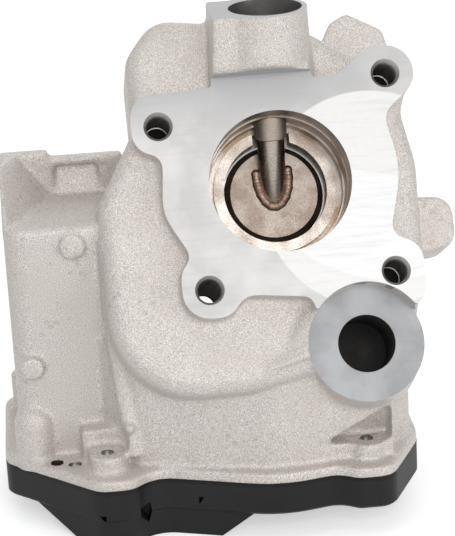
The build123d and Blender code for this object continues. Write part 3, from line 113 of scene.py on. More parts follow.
world = bpy.data.worlds.new("surround")
scene.world = world
world.use_nodes = True
nodes, links = world.node_tree.nodes, world.node_tree.links
nodes.clear()
seen = ray_that_sees(nodes, links)
white = nodes.new("ShaderNodeBackground")
white.inputs["Color"].default_value = (1, 1, 1, 1)
white.inputs["Strength"].default_value = background_light
room = nodes.new("ShaderNodeBackground")
room.inputs["Color"].default_value = (0.97, 0.98, 1.0, 1)
room.inputs["Strength"].default_value = room_light
pick = nodes.new("ShaderNodeMixShader")
links.new(seen, pick.inputs[0])
links.new(room.outputs[0], pick.inputs[1])
links.new(white.outputs[0], pick.inputs[2])
links.new(pick.outputs[0], nodes.new("ShaderNodeOutputWorld").inputs["Surface"])

# Name, place, size in metres and power in watts; all four aim at the casting
lamp_aim = Vector((0, 0.01, -0.02))
for name, place, size, power in (
    ("key_lamp", (0.10, -1.08, 0.60), 0.60, 4.8),
    ("top_lamp", (-0.25, 0.00, 1.05), 0.8, 1.9),
    ("fill_lamp", (0.85, -0.75, 0.15), 0.5, 2.0),
    ("back_lamp", (0.30, 1.00, 0.60), 0.8, 1.6),
):
    lamp_data = bpy.data.lights.new(name, "AREA")
    lamp_data.size = size
    lamp_data.energy = power
    lamp = bpy.data.objects.new(name, lamp_data)
    lamp.location = place
    lamp.rotation_euler = (lamp_aim - lamp.location).to_track_quat("-Z", "Y").to_euler()
    scene.collection.objects.link(lamp)

# ---- Valve housing: one aluminium casting, shot blasted all over, then milled, bored and tapped.
# The blank is cast with rounded corners and stock on its faces; the machining then cuts it with
# sharp ones: the inlet face, the ring port, the bores, the gear room and the four bolt holes.
mm = 0.001
tilt = radians(62)
shaft_y = 22.0737
parting_z, top_face_z = -84.0, 45.0
ring_depth, water_depth, outlet_depth = 6.0, 42.0, 54.0
mill_edge_up = 31.0
fill_voxel, fillet_voxel, weld_voxel = 0.8, 0.7, 0.14
flange_right = Vector((1, 0, 0))
flange_up = Vector((0, cos(tilt), sin(tilt)))
flange_out = Vector((0, -sin(tilt), cos(tilt)))

# Places on the inlet flange (right, up its slope and, for the inlet bolts, how deep)
inlet_bolts = ((-33.2, 18.0, 18.0), (32.7, 28.7, 18.0), (30.2, -28.2, 18.0), (-22.7, -29.6, 39.0))
outlet_bolts = ((0.0, 29.0), (-25.1147, -14.5), (25.1147, -14.5))
ring_port = (20.7, -47.5)
water_out = (-37.0, 2.0)

# Places on the rim, seen from above
open_screws = ((-54.5, -7.0), (20.5, -12.5))
ledge_holes = ((-69.3, -0.5), (-64.1, -2.6))
tower_centre_x = -61.5


def select_only(piece):
    """Makes one object the selected and active one."""
    bpy.ops.object.select_all(action="DESELECT")
    piece.select_set(True)
    bpy.context.view_layer.objects.active = piece


def on_flange(u, v, depth):
    """Place of a point of the inlet flange: right, up its slope and in, in millimetres."""
    return (flange_right * u + flange_up * v - flange_out * depth) * mm


def copied(piece):
    """A second object with its own mesh."""
    copy = piece.copy()
    copy.data = piece.data.copy()
    scene.collection.objects.link(copy)
    return copy


def merged_copy(node):
    """A CAD node's mesh as a new object, with its triangles joined."""
    copy = bpy.data.objects.new(node, frame["nodes"][node].data.copy())
    scene.collection.objects.link(copy)
    select_only(copy)
    bpy.ops.object.mode_set(mode="EDIT")
    bpy.ops.mesh.select_all(action="SELECT")
    bpy.ops.mesh.remove_doubles(threshold=0.001 * mm)
    bpy.ops.object.mode_set(mode="OBJECT")
    bpy.ops.mesh.customdata_custom_splitnormals_clear()
    copy.data.materials.clear()
    return copy


def flange_drill(radius, near, far, u=0.0, v=0.0, sides=96):
    """A round tool square to the inlet flange, between two depths."""
    bpy.ops.object.select_all(action="DESELECT")
    bpy.ops.mesh.primitive_cylinder_add(
        vertices=sides, radius=radius * mm, depth=(far - near) * mm,
        location=on_flange(u, v, (near + far) / 2), rotation=(tilt, 0, 0),
    )
    bpy.ops.object.transform_apply(location=True, rotation=True, scale=True)
    return bpy.context.active_object


def upright_drill(radius, low, high, x=0.0, y=shaft_y, sides=64):
    """A round tool along the shaft, between two heights."""
    bpy.ops.object.select_all(action="DESELECT")
    bpy.ops.mesh.primitive_cylinder_add(
        vertices=sides, radius=radius * mm, depth=(high - low) * mm,
        location=(x * mm, y * mm, (low + high) / 2 * mm),
    )
    bpy.ops.object.transform_apply(location=True, rotation=True, scale=True)
    return bpy.context.active_object


def square_block(low, high):
    """A square block between two corners, upright."""
    bpy.ops.object.select_all(action="DESELECT")
    bpy.ops.mesh.primitive_cube_add(
        size=1, location=[(a + b) / 2 * mm for a, b in zip(low, high)],
        scale=[(b - a) * mm for a, b in zip(low, high)],
    )
    bpy.ops.object.transform_apply(location=True, rotation=True, scale=True)
    return bpy.context.active_object


def flange_block(u_range, v_range, near, far):
    """A square block lying on the inlet flange's slope, between two depths."""
    bpy.ops.object.select_all(action="DESELECT")
    bpy.ops.mesh.primitive_cube_add(
        size=1, rotation=(tilt, 0, 0),
        location=on_flange(sum(u_range) / 2, sum(v_range) / 2, (near + far) / 2),
        scale=[(u_range[1] - u_range[0]) * mm, (v_range[1] - v_range[0]) * mm, (far - near) * mm],
    )
    bpy.ops.object.transform_apply(location=True, rotation=True, scale=True)
    return bpy.context.active_object


def combine(piece, tool, operation="DIFFERENCE"):
    """Cuts a tool from a piece, or adds it, and removes the tool."""
    select_only(piece)
    step = piece.modifiers.new(operation.lower(), "BOOLEAN")
    step.operation = operation
    step.solver = "MANIFOLD"
    step.object = tool
    bpy.ops.object.modifier_apply(modifier=step.name)
    bpy.data.objects.remove(tool)


housing_cad = merged_copy("valve_housing")

# Core of the gear room and the motor bore: the room that the CAD casting leaves open below. A block
# round both loses what the casting fills, and only what reaches the motor's roof stays
gear_core = square_block((-79.5, -24, -84), (37, 57, -59.5))
combine(gear_core, square_block((-77.5, 6, -70), (-46.0, 38.5, -14.9)), "UNION")
combine(gear_core, copied(housing_cad))
select_only(gear_core)
bpy.ops.object.mode_set(mode="EDIT")
bpy.ops.mesh.select_all(action="DESELECT")
bpy.ops.object.mode_set(mode="OBJECT")
motor_roof = Vector((tower_centre_x, shaft_y, -15.0)) * mm
inner = min(gear_core.data.vertices, key=lambda vertex: (vertex.co - motor_roof).length)
inner.select = True
bpy.ops.object.mode_set(mode="EDIT")
bpy.ops.mesh.select_linked()
bpy.ops.mesh.select_all(action="INVERT")
bpy.ops.mesh.delete(type="VERT")
bpy.ops.object.mode_set(mode="OBJECT")
gear_core.name = "gear_core"

# Blank: the casting before machining, with stock on the faces to be milled, and little of it at
# the parting face, whose edge stays a rounded one
stock, parting_stock = 3.0, 0.9
near_face = 0.01
ring_face_r = 16.9
blank = copied(housing_cad)
blank.name = "valve_housing_casting"
for vertex in blank.data.vertices:
    place = vertex.co
    depth = -place.dot(flange_out) / mm
    ring_gap = (place - on_flange(*ring_port, depth)).length / mm
    on_ring_face = abs(depth - ring_depth) < near_face and ring_gap < ring_face_r + 0.05
    on_outlet_face = depth > outlet_depth - near_face and place.z > -50 * mm
    if place.z < (parting_z + near_face) * mm:
        place.z -= parting_stock * mm
    elif place.z > (top_face_z - near_face) * mm:
        place.z += stock * mm
    elif abs(depth) < near_face or on_ring_face:
        vertex.co = place + flange_out * stock * mm
    elif on_outlet_face or abs(depth - water_depth) < near_face:
        vertex.co = place - flange_out * stock * mm

# Every hole is filled before the casting is rounded off, so that its walls can be cut sharp later.
# A fill is a little wider than its hole.
core_overlap = 0.6
gear_fill = copied(gear_core)
select_only(gear_fill)
bpy.ops.object.mode_set(mode="EDIT")
bpy.ops.mesh.select_all(action="SELECT")
bpy.ops.transform.shrink_fatten(value=core_overlap * mm)
bpy.ops.object.mode_set(mode="OBJECT")
fills = [
    gear_fill, flange_drill(20.9, -2, 17), flange_drill(19.2, 15, 56.5), flange_drill(8.8, 4, 27, *ring_port),
    flange_drill(6.2, 11, 44.5, *water_out), upright_drill(11.2, 28.4, 47.5), upright_drill(7.4, 6, 29),
]
fills += [flange_drill(4.6, -2, deep - 0.4, u, v) for u, v, deep in inlet_bolts]
fills += [flange_drill(4.8, 46.3, 56.5, u, v) for u, v in outlet_bolts]
fills += [upright_drill(2.4, -86.5, -76.4, x, y) for x, y in open_screws]
fills += [upright_drill(2.4, -86.5, -81.4, x, y) for x, y in ledge_holes]


def cast_bar(start, end, radius):
    """A round bar between two places, for ribs and pads."""
    first, last = Vector(start) * mm, Vector(end) * mm
    turn = (last - first).to_track_quat("Z", "Y").to_euler()
    bpy.ops.object.select_all(action="DESELECT")
    bpy.ops.mesh.primitive_cylinder_add(
        vertices=32, radius=radius * mm, depth=(last - first).length,
        location=(first + last) / 2, rotation=turn,
    )
    bpy.ops.object.transform_apply(location=True, rotation=True, scale=True)
    return bpy.context.active_object


# Cast details: the rib beside the tower, two ejector pads and a pin mark, the domed boss, and the
# metal that the back pocket and the pockets over the two open screws are then cut from
rib = [(-50.6, 3.6, -15.0), (-50.6, 2.2, -40.0), (-48.6, -4.6, -60.0), (-46.6, -6.8, -78.0)]
fills += [cast_bar(start, end, 2.3) for start, end in zip(rib, rib[1:])]
dome_r = 5.8
for x, z, back, front, radius in (
    (-60.0, -16.2, 8.0, 2.6, 3.7), (-74.2, -52.3, 11.0, 1.9, 3.5), (-47.6, -68.6, -4.0, -9.6, 1.5),
):
    fills.append(cast_bar((x, back, z), (x, front, z), radius))
fills.append(cast_bar((-75.2, 6.5, parting_z), (-75.2, 6.5, -70.0), dome_r))
bpy.ops.object.select_all(action="DESELECT")
bpy.ops.mesh.primitive_uv_sphere_add(
    segments=32, ring_count=16, radius=dome_r * mm, location=Vector((-75.2, 6.5, -70.5)) * mm,
)
bpy.ops.object.transform_apply(location=True, rotation=True, scale=True)
fills.append(bpy.context.active_object)
for low, high in (
    ((-64.5, 37.6, -10.5), (-49.5, 42.2, -1.2)),
    ((-61.5, -1.5, -84.5), (-47.5, 6, -71.5)),
    ((7.0, -15.2, -84.5), (28.0, -4, -58.0)),
):
    fills.append(square_block(low, high))
select_only(blank)
for piece in fills:
    piece.select_set(True)
bpy.ops.object.join()
blank.data.remesh_voxel_size = fill_voxel * mm
bpy.ops.object.voxel_remesh()

# Pocket over the right screw, whose roof slopes down to the left and whose back leans forwards, and
# the round one over the left screw
driver_floor_z = -76
pocket = square_block((8.4, -30, driver_floor_z), (27.4, -8.6, -65.0))
for vertex in pocket.data.vertices:
    if vertex.co.x < 9 * mm and vertex.co.z > -70 * mm:
        vertex.co.z = -75.4 * mm
    if vertex.co.y > -10 * mm and vertex.co.z > -70 * mm:
        vertex.co.y -= 4.0 * mm
combine(blank, pocket)
combine(blank, upright_drill(6.3, driver_floor_z, -70, *open_screws[0]))

# The slanted face of the tower's gusset, and the pocket under the edge of the back wall
gusset_face = [(-78.0, 8, -11), (-64.5, 37.4, -11), (-79.5, 27, 2), (-74.7, 37.4, 2)]
room_before_it = [
    (-79.5, 20, 9), (-79.5, 37.4, 9), (-60, 37.4, 9), (-60, 37.4, -11), (-60, 8, -11), (-60, 8, 9),
]
lean = bmesh.new()
for corner in gusset_face + room_before_it:
    lean.verts.new(Vector(corner) * mm)
bmesh.ops.convex_hull(lean, input=lean.verts)
lean_mesh = bpy.data.meshes.new("gusset_tool")
lean.to_mesh(lean_mesh)
lean.free()
gusset_tool = bpy.data.objects.new("gusset_tool", lean_mesh)
scene.collection.objects.link(gusset_tool)
combine(blank, gusset_tool)
pocket = square_block((-63.6, 30, -11.2), (-50.2, 40.8, -2.3))
for vertex in pocket.data.vertices:
    if vertex.co.y > 35 * mm and vertex.co.z < -8 * mm:
        vertex.co.y = 37.3 * mm
combine(blank, pocket)

# Cast fillets: the mesh is evened out, then smoothed all over
select_only(blank)
blank.data.remesh_voxel_size = fillet_voxel * mm
bpy.ops.object.voxel_remesh()
round_off = blank.modifiers.new("cast_rounds", "SMOOTH")
round_off.factor = 0.5
round_off.iterations = 15
bpy.ops.object.modifier_apply(modifier=round_off.name)
thin = blank.modifiers.new("thin", "DECIMATE")
thin.ratio = 0.5
bpy.ops.object.modifier_apply(modifier=thin.name)

# Machining: the face mill over the inlet flange, the ring port, the outlet flange and its water
# stub, then the parting face and the top boss
combine(blank, flange_block((-70, 70), (-71, mill_edge_up), -40, 0))
combine(blank, flange_block((15, 50), (20, 40), -12, 0))
combine(blank, flange_drill(ring_face_r, -8, ring_depth, *ring_port))
combine(blank, flange_block((-36, 36), (-26, 40), outlet_depth, 60))
combine(blank, flange_drill(9.2, water_depth, 46, *water_out))
combine(blank, square_block((-95, -40, -90), (60, 70, parting_z)))
combine(blank, square_block((-20, 5, top_face_z), (16, 38, 50)))

# Bores: the stepped gas path and the stepped shaft bore, each step by radius, start and end
gas_bores = ((20.3, -1, 8), (20.0, 7, 15), (19.5, 14, 19), (18.0, 18, 42), (18.5, 41, 56))
shaft_bores = ((10.6, 33, 47), (9.0, 29, 34), (6.5, 24.3, 30), (4.7, 0, 25), (5.4, -40, -10))
ring_bore_r, water_bore_r = 8.2, 5.6
outlet_bolt_r, screw_hole_r = 4.25, 1.9
for radius, near, far in gas_bores:
    combine(blank, flange_drill(radius, near, far))
combine(blank, flange_drill(ring_bore_r, 5, 26, *ring_port))
combine(blank, flange_drill(water_bore_r, 11.5, 46, *water_out))
for radius, low, high in shaft_bores:
    combine(blank, upright_drill(radius, low, high))
for u, v in outlet_bolts:
    combine(blank, flange_drill(outlet_bolt_r, 44, 56, u, v, 48))
for x, y in open_screws:
    combine(blank, upright_drill(screw_hole_r, -86, -74, x, y, 32))
for x, y in ledge_holes:
    combine(blank, upright_drill(screw_hole_r, -86, -79, x, y, 32))


def thread_tap(depth):
    """A screw-thread tool for an M8 hole: a countersink, then rings 1.25 mm apart, then the drill's end."""
    mouth_r, mouth_height, lead_r, lead_depth = 4.6, 0.5, 3.95, 0.25
    thread_r, core_r, drill_r, half_pitch = 4.0, 3.42, 3.3, 0.625
    bpy.ops.object.select_all(action="DESELECT")
    bpy.ops.mesh.primitive_circle_add(
        vertices=48, radius=mouth_r * mm, fill_type="NGON", location=(0, 0, mouth_height * mm),
    )
    tap = bpy.context.active_object
    bpy.ops.object.transform_apply(location=True, rotation=True, scale=True)
    bpy.ops.object.mode_set(mode="EDIT")
    bpy.ops.mesh.select_all(action="SELECT")
    radius, height = mouth_r, mouth_height
    steps = [(lead_r, -lead_depth)]
    while steps[-1][1] > -depth + 0.7:
        crest = len(steps) % 2
        steps.append((core_r if crest else thread_r, steps[-1][1] - half_pitch))
    steps.append((drill_r, -depth))
    for next_radius, next_height in steps:
        rise = (next_height - height) * mm
        bpy.ops.mesh.extrude_region_move(TRANSFORM_OT_translate={"value": (0, 0, rise)})
        scale = next_radius / radius
        bpy.ops.transform.resize(value=(scale, scale, 1), center_override=(0, 0, next_height * mm))
        radius, height = next_radius, next_height
    bpy.ops.mesh.select_all(action="SELECT")
    bpy.ops.mesh.normals_make_consistent(inside=False)
    bpy.ops.object.mode_set(mode="OBJECT")
    return tap


for u, v, deep in inlet_bolts:
    tap = thread_tap(deep)
    tap.rotation_euler = (tilt, 0, 0)
    tap.location = on_flange(u, v, 0)
    select_only(tap)
    bpy.ops.object.transform_apply(location=True, rotation=True, scale=True)
    combine(blank, tap)
combine(blank, gear_core)
bpy.data.objects.remove(housing_cad)
housing = blank
select_only(housing)
bpy.ops.object.shade_smooth_by_angle(angle=radians(32))


def place_in_mm(nodes, links):
    """Object coordinates in millimetres."""
    coordinates = nodes.new("ShaderNodeTexCoord")
    scaled = nodes.new("ShaderNodeVectorMath")
    scaled.operation = "SCALE"
    scaled.inputs["Scale"].default_value = 1000.0
    links.new(coordinates.outputs["Object"], scaled.inputs[0])
    return scaled.outputs[0]


def calculate(nodes, links, operation, *values):
    """One Math node, its inputs linked or typed."""
    step = nodes.new("ShaderNodeMath")
    step.operation = operation
    for slot, value in enumerate(values):
        if isinstance(value, (int, float)):
            step.inputs[slot].default_value = value
        else:
            links.new(value, step.inputs[slot])
    return step.outputs[0]


def remap(nodes, links, value, low, high, to_low=0.0, to_high=1.0):
    """Stretches a value from one range to another, clamped."""
    step = nodes.new("ShaderNodeMapRange")
    for name, number in (("From Min", low), ("From Max", high), ("To Min", to_low), ("To Max", to_high)):
        step.inputs[name].default_value = number
    links.new(value, step.inputs["Value"])
    return step.outputs["Result"]


def tint(nodes, links, factor, first, second):
    """Mixes two colours, typed or linked, by a factor."""
    step = nodes.new("ShaderNodeMix")
    step.data_type = "RGBA"
    for slot, colour in ((6, first), (7, second)):
        if isinstance(colour, tuple):
            step.inputs[slot].default_value = (*colour, 1)
        else:
            links.new(colour, step.inputs[slot])
    if isinstance(factor, (int, float)):
        step.inputs[0].default_value = factor
    else:
        links.new(factor, step.inputs[0])
    return step.outputs[2]


def speckle(nodes, links, vector, scale, detail):
    """Value of one noise texture, its scale per millimetre."""
    step = nodes.new("ShaderNodeTexNoise")
    step.inputs["Scale"].default_value = scale
    step.inputs["Detail"].default_value = detail
    links.new(vector, step.inputs["Vector"])
    return step.outputs["Fac"]


def dent(nodes, links, height, depth_mm):
    """A bump of the given depth in millimetres."""
    step = nodes.new("ShaderNodeBump")
    step.inputs["Strength"].default_value = 1.0
    step.inputs["Distance"].default_value = depth_mm * mm
    links.new(height, step.inputs["Height"])
    return step.outputs["Normal"]


def finish(name, **constants):
    """A new material with one Principled shader and its plain values."""
    material = bpy.data.materials.new(name)
    material.use_nodes = True
    nodes, links = material.node_tree.nodes, material.node_tree.links
    nodes.clear()
    shader = nodes.new("ShaderNodeBsdfPrincipled")
    links.new(shader.outputs[0], nodes.new("ShaderNodeOutputMaterial").inputs["Surface"])
    for socket, value in constants.items():
        shader.inputs[socket.replace("_", " ")].default_value = value
    return material, nodes, links, shader


# Grain that every surface shares: fine grit, soft blotches and pits. Its values keep near 0.5: a
# finish spreads a wide range of them, or a narrow one where the edges are crisp
wide, narrow = (0.3, 0.7), (0.4, 0.6)
grain = bpy.data.node_groups.new("grain", "ShaderNodeTree")
for name in ("Grit Size", "Blotch Size"):
    grain.interface.new_socket(name=name, in_out="INPUT", socket_type="NodeSocketFloat")
for name in ("Grit", "Blotch", "Pits"):
    grain.interface.new_socket(name=name, in_out="OUTPUT", socket_type="NodeSocketFloat")
nodes, links = grain.nodes, grain.links
given, result = nodes.new("NodeGroupInput"), nodes.new("NodeGroupOutput")
place = place_in_mm(nodes, links)
for size, output, detail in (("Grit Size", "Grit", 3.0), ("Blotch Size", "Blotch", 4.0)):
    noise = nodes.new("ShaderNodeTexNoise")
    noise.inputs["Detail"].default_value = detail
    links.new(place, noise.inputs["Vector"])
    links.new(calculate(nodes, links, "DIVIDE", 1.0, given.outputs[size]), noise.inputs["Scale"])
    links.new(noise.outputs["Fac"], result.inputs[output])
holes = nodes.new("ShaderNodeTexVoronoi")
links.new(place, holes.inputs["Vector"])
holes.inputs["Scale"].default_value = 0.33
holes.inputs["Randomness"].default_value = 1.0
rare = calculate(nodes, links, "GREATER_THAN", speckle(nodes, links, place, 0.045, 1.0), 0.60)
pit = calculate(nodes, links, "MULTIPLY", rare, remap(nodes, links, holes.outputs["Distance"], 0.32, 0.16))
links.new(pit, result.inputs["Pits"])


def grained(nodes, grit_mm, blotch_mm):
    """Places the grain group and gives its outputs: grit, blotches and pits."""
    step = nodes.new("ShaderNodeGroup")
    step.node_tree = grain
    step.inputs["Grit Size"].default_value = grit_mm
    step.inputs["Blotch Size"].default_value = blotch_mm
    return step.outputs["Grit"], step.outputs["Blotch"], step.outputs["Pits"]


def measured(nodes, links, place, operation, vector):
    """Millimetres from a point (DISTANCE), or along a direction (DOT_PRODUCT)."""
    step = nodes.new("ShaderNodeVectorMath")
    step.operation = operation
    step.inputs[1].default_value = vector
    links.new(place, step.inputs[0])
    return step.outputs["Value"]


def grainy(name, sizes, colours, roughness, dent_mm=0.0,
           colour_by="blotch", rough_by="grit", crisp=False, **constants):
    """A finish whose colour and roughness follow the grain, the colour crisply or not."""
    material, nodes, links, shader = finish(name, **constants)
    grit, blotch, pits = grained(nodes, *sizes)
    grains = {"grit": grit, "blotch": blotch}
    factor = remap(nodes, links, grains[colour_by], *narrow) if crisp else grains[colour_by]
    links.new(tint(nodes, links, factor, *colours), shader.inputs["Base Color"])
    links.new(remap(nodes, links, grains[rough_by], *wide, *roughness), shader.inputs["Roughness"])
    if dent_mm:
        links.new(dent(nodes, links, grit, dent_mm), shader.inputs["Normal"])
    return material


# Shot-blasted casting skin: matte, pinkish light grey, with a few darker pits
blasted, nodes, links, shader = finish("blasted_aluminium", Metallic=0.35, IOR=1.5)
grit, blotch, pits = grained(nodes, 0.27, 14.0)
skin = tint(nodes, links, remap(nodes, links, grit, 0.34, 0.66), (0.36, 0.325, 0.30), (0.88, 0.83, 0.785))
skin = tint(nodes, links, remap(nodes, links, blotch, 0.42, 0.62, 0.0, 0.3), skin, (0.62, 0.56, 0.51))
skin = tint(nodes, links, calculate(nodes, links, "MULTIPLY", pits, 0.2), skin, (0.30, 0.27, 0.25))
links.new(skin, shader.inputs["Base Color"])
links.new(remap(nodes, links, blotch, *wide, 0.46, 0.56), shader.inputs["Roughness"])
relief = calculate(nodes, links, "SUBTRACT", grit, calculate(nodes, links, "MULTIPLY", pits, 0.9))
links.new(dent(nodes, links, relief, 0.15), shader.inputs["Normal"])

# Milled face: the cutter's wide arcs bound zones painted in different tones: a near-white painted highlight
# where two passes overlap, a lighter painted highlight in the top pass and painted shade towards the top
milled, nodes, links, shader = finish("milled_aluminium", IOR=1.35)
place = place_in_mm(nodes, links)


def cutter_arc(nodes, links, place, u, v, radius):
    """How far a place is from an arc's centre, and 1 inside the arc and 0 outside, softly edged."""
    reach = measured(nodes, links, place, "DISTANCE", on_flange(u, v, 0) / mm)
    return reach, remap(nodes, links, reach, radius + 0.25, radius - 0.25)


def feed_lines(nodes, links, reach, turn_per_mm):
    """Faint grooves of the cutter's feed: a wave along the reach, in radians per millimetre."""
    wave = calculate(nodes, links, "SINE", calculate(nodes, links, "MULTIPLY", reach, turn_per_mm))
    return remap(nodes, links, wave, -1.0, 1.0, 0.0, 0.03)


low_reach, low_pass = cutter_arc(nodes, links, place, 15.1, -56.2, 57.7)
right_reach, right_pass = cutter_arc(nodes, links, place, 31.2, 11.1, 41.7)
top_pass = cutter_arc(nodes, links, place, 25.4, -7.2, 31.2)[1]
# Painted highlight: the face is painted near white where the low and right passes overlap, and made less
# metallic there
painted_highlight_zone = calculate(nodes, links, "MULTIPLY", low_pass, right_pass)
grit, blotch, pits = grained(nodes, 0.22, 16.0)
split = nodes.new("ShaderNodeSeparateXYZ")
links.new(place, split.inputs[0])
# Painted shade: the upper part of the face, left of 42 mm across, is painted darker grey, fully so left of 12
# mm
near_top = remap(nodes, links, measured(nodes, links, place, "DOT_PRODUCT", flange_up), 14.0, 30.0)
shaded_top = calculate(nodes, links, "MULTIPLY", near_top, remap(nodes, links, split.outputs["X"], 42.0, 12.0))
face = tint(nodes, links, remap(nodes, links, blotch, *narrow), (0.58, 0.565, 0.55), (0.70, 0.69, 0.675))
face = tint(nodes, links, shaded_top, face, (0.44, 0.44, 0.445))
# Painted highlight: the area inside the top cutter pass is painted lighter
face = tint(nodes, links, top_pass, face, (0.80, 0.79, 0.77))
face = tint(nodes, links, painted_highlight_zone, face, (0.97, 0.97, 0.96))
ring_reach = measured(nodes, links, place, "DISTANCE", on_flange(*ring_port, ring_depth) / mm)
ring_blotch = remap(nodes, links, blotch, 0.42, 0.58)
ring_tone = tint(nodes, links, ring_blotch, (0.31, 0.315, 0.325), (0.42, 0.425, 0.435))
face = tint(nodes, links, remap(nodes, links, ring_reach, 17.2, 16.6), face, ring_tone)
stretch = nodes.new("ShaderNodeVectorMath")
stretch.operation = "MULTIPLY"
stretch.inputs[1].default_value = (0.05, 0.8, 0.8)
links.new(place, stretch.inputs[0])
streaks = remap(nodes, links, speckle(nodes, links, stretch.outputs[0], 1.0, 5.0), 0.5, 0.7, 0.0, 0.17)
face = tint(nodes, links, streaks, face, (0.40, 0.40, 0.41))
low_grooves = feed_lines(nodes, links, low_reach, 5.2)
right_grooves = feed_lines(nodes, links, right_reach, 2.1)
grooves = calculate(nodes, links, "ADD", low_grooves, right_grooves)
face = tint(nodes, links, grooves, face, (0.42, 0.42, 0.43))
links.new(face, shader.inputs["Base Color"])
links.new(remap(nodes, links, painted_highlight_zone, 0.0, 1.0, 0.16, 0.05), shader.inputs["Metallic"])
links.new(remap(nodes, links, grit, *wide, 0.38, 0.50), shader.inputs["Roughness"])
links.new(dent(nodes, links, grit, 0.010), shader.inputs["Normal"])

# Deep inside the water passages and at the hidden ends of holes: the raw core skin, painted near black as shade
core_skin_and_painted_shade = grainy("water_passage", (0.5, 6.0), ((0.012, 0.011, 0.010), (0.035, 0.032, 0.030)), (0.7, 0.9),
                   dent_mm=0.1, colour_by="grit", rough_by="blotch", Metallic=0.0)

# Turned bore: fine rings along the flange's axis, brown heat tint from the exhaust
bored, nodes, links, shader = finish("bored_aluminium", Metallic=1.0)
along = measured(nodes, links, place_in_mm(nodes, links), "DOT_PRODUCT", flange_out)
rings = calculate(nodes, links, "SINE", calculate(nodes, links, "MULTIPLY", along, 9.0))
grit, blotch, pits = grained(nodes, 0.3, 9.0)
wall = tint(nodes, links, remap(nodes, links, blotch, *narrow), (0.38, 0.345, 0.315), (0.22, 0.16, 0.115))
links.new(wall, shader.inputs["Base Color"])
links.new(remap(nodes, links, grit, *wide, 0.26, 0.40), shader.inputs["Roughness"])
links.new(dent(nodes, links, rings, 0.008), shader.inputs["Normal"])

# Drilled and tapped holes: bare aluminium in the shade of their own depth
threaded = grainy("threaded_aluminium", (0.3, 5.0), ((0.30, 0.29, 0.28), (0.42, 0.41, 0.40)), (0.28, 0.42),
                  Metallic=1.0)

cast_slot, milled_slot, bored_slot, passage_slot, thread_slot = range(5)
longest_hole = max(deep for u, v, deep in inlet_bolts)


def finish_slot(centre, normal):
    """Which of the five finishes a face of the casting has, from its place and the way it faces."""
    depth, across, up = -centre.dot(flange_out), centre.x, centre.dot(flange_up)
    on_face = Vector((across, up))
    faces_out = abs(normal.dot(flange_out))
    from_shaft = centre.xy - Vector((0, shaft_y))
    from_ring = (on_face - Vector(ring_port)).length
    on_milled_depth = abs(depth) < 0.02 or depth > outlet_depth - 0.03 or abs(depth - water_depth) < 0.02
    if faces_out > 0.999 and on_milled_depth:
        return milled_slot
    if abs(depth - ring_depth) < 0.02 and from_ring < ring_face_r + 0.1:
        return milled_slot
    if abs(normal.z) > 0.999 and (centre.z < parting_z + 0.03 or centre.z > top_face_z - 0.03):
        return milled_slot
    if on_face.length < 20.4 and -0.1 < depth < outlet_depth + 0.1:
        return bored_slot
    if from_shaft.length < 10.7 and centre.z > 33.0 and normal.xy.dot(from_shaft) <= 0.5:
        return thread_slot
    # Deeper than 7 mm the ring port is given the near-black painted shade
    if from_ring < ring_bore_r + 0.2 and depth < 27:
        return bored_slot if depth < 7.0 else passage_slot
    if any((on_face - Vector(bolt[:2])).length < 4.7 and depth < bolt[2] + 0.1 for bolt in inlet_bolts):
        # Hole ends out of sight are given the near-black painted shade
        out_of_sight = depth > longest_hole - 2.5 or faces_out > 0.99 and depth > 3
        return passage_slot if out_of_sight else thread_slot
    if any((on_face - Vector(bolt)).length < 4.4 and depth > 46.2 for bolt in outlet_bolts):
        return thread_slot
    if abs(up - mill_edge_up) < 0.02 and depth < 0.1:
        return milled_slot
    if any((centre.xy - Vector(hole)).length < screw_hole_r + 0.05 for hole in (*open_screws, *ledge_holes)):
        # The ledge hole left of x = -68 mm is given the near-black painted shade
        return passage_slot if centre.x < -68 else thread_slot
    return cast_slot


housing.data.materials.clear()
for material in (blasted, milled, bored, core_skin_and_painted_shade, threaded):
    housing.data.materials.append(material)
for polygon in housing.data.polygons:
    polygon.material_index = finish_slot(polygon.center / mm, polygon.normal)
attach(housing, "housing")
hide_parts("valve_housing")


def dress(material, *node_names):
    """Gives CAD nodes one finish."""
    for name in node_names:
        node = frame["nodes"][name]
        node.data.materials.clear()
        node.data.materials.append(material)


# ---- Seat tube: stainless, turned and pressed into the bore, straw and brown from the heat
stainless, nodes, links, shader = finish("tinted_stainless", Metallic=1.0)
along = measured(nodes, links, place_in_mm(nodes, links), "DOT_PRODUCT", flange_out)
turned = calculate(nodes, links, "SINE", calculate(nodes, links, "MULTIPLY", along, 14.0))
grit, blotch, pits = grained(nodes, 0.35, 7.0)
heat = tint(nodes, links, remap(nodes, links, blotch, 0.38, 0.62), (0.36, 0.33, 0.30), (0.22, 0.18, 0.155))
links.new(heat, shader.inputs["Base Color"])
links.new(remap(nodes, links, grit, *wide, 0.24, 0.42), shader.inputs["Roughness"])
links.new(dent(nodes, links, calculate(nodes, links, "ADD", turned, grit), 0.006), shader.inputs["Normal"])
dress(stainless, "seat_ring")

# ---- Flap and shaft: thick stainless disc with a bevelled rim, and the ground shaft through it
satin = grainy("satin_flap_steel", (0.5, 6.0), ((0.29, 0.25, 0.215), (0.21, 0.17, 0.14)), (0.38, 0.5),
               dent_mm=0.02, crisp=True, Metallic=1.0)
dress(satin, "flap_disc")

ground, nodes, links, shader = finish("ground_shaft_steel", Metallic=1.0)
place = place_in_mm(nodes, links)
stretch = nodes.new("ShaderNodeMapping")
stretch.inputs["Scale"].default_value = (1, 1, 8)
links.new(place, stretch.inputs["Vector"])
lines = speckle(nodes, links, stretch.outputs[0], 1.2, 3.0)
links.new(tint(nodes, links, remap(nodes, links, lines, *narrow), (0.42, 0.385, 0.34), (0.32, 0.285, 0.25)),
          shader.inputs["Base Color"])
links.new(remap(nodes, links, lines, 0.35, 0.65, 0.2, 0.34), shader.inputs["Roughness"])
links.new(dent(nodes, links, lines, 0.006), shader.inputs["Normal"])
dress(ground, "flap_shaft", "idler_pin", "motor_shaft", "shaft_clip")

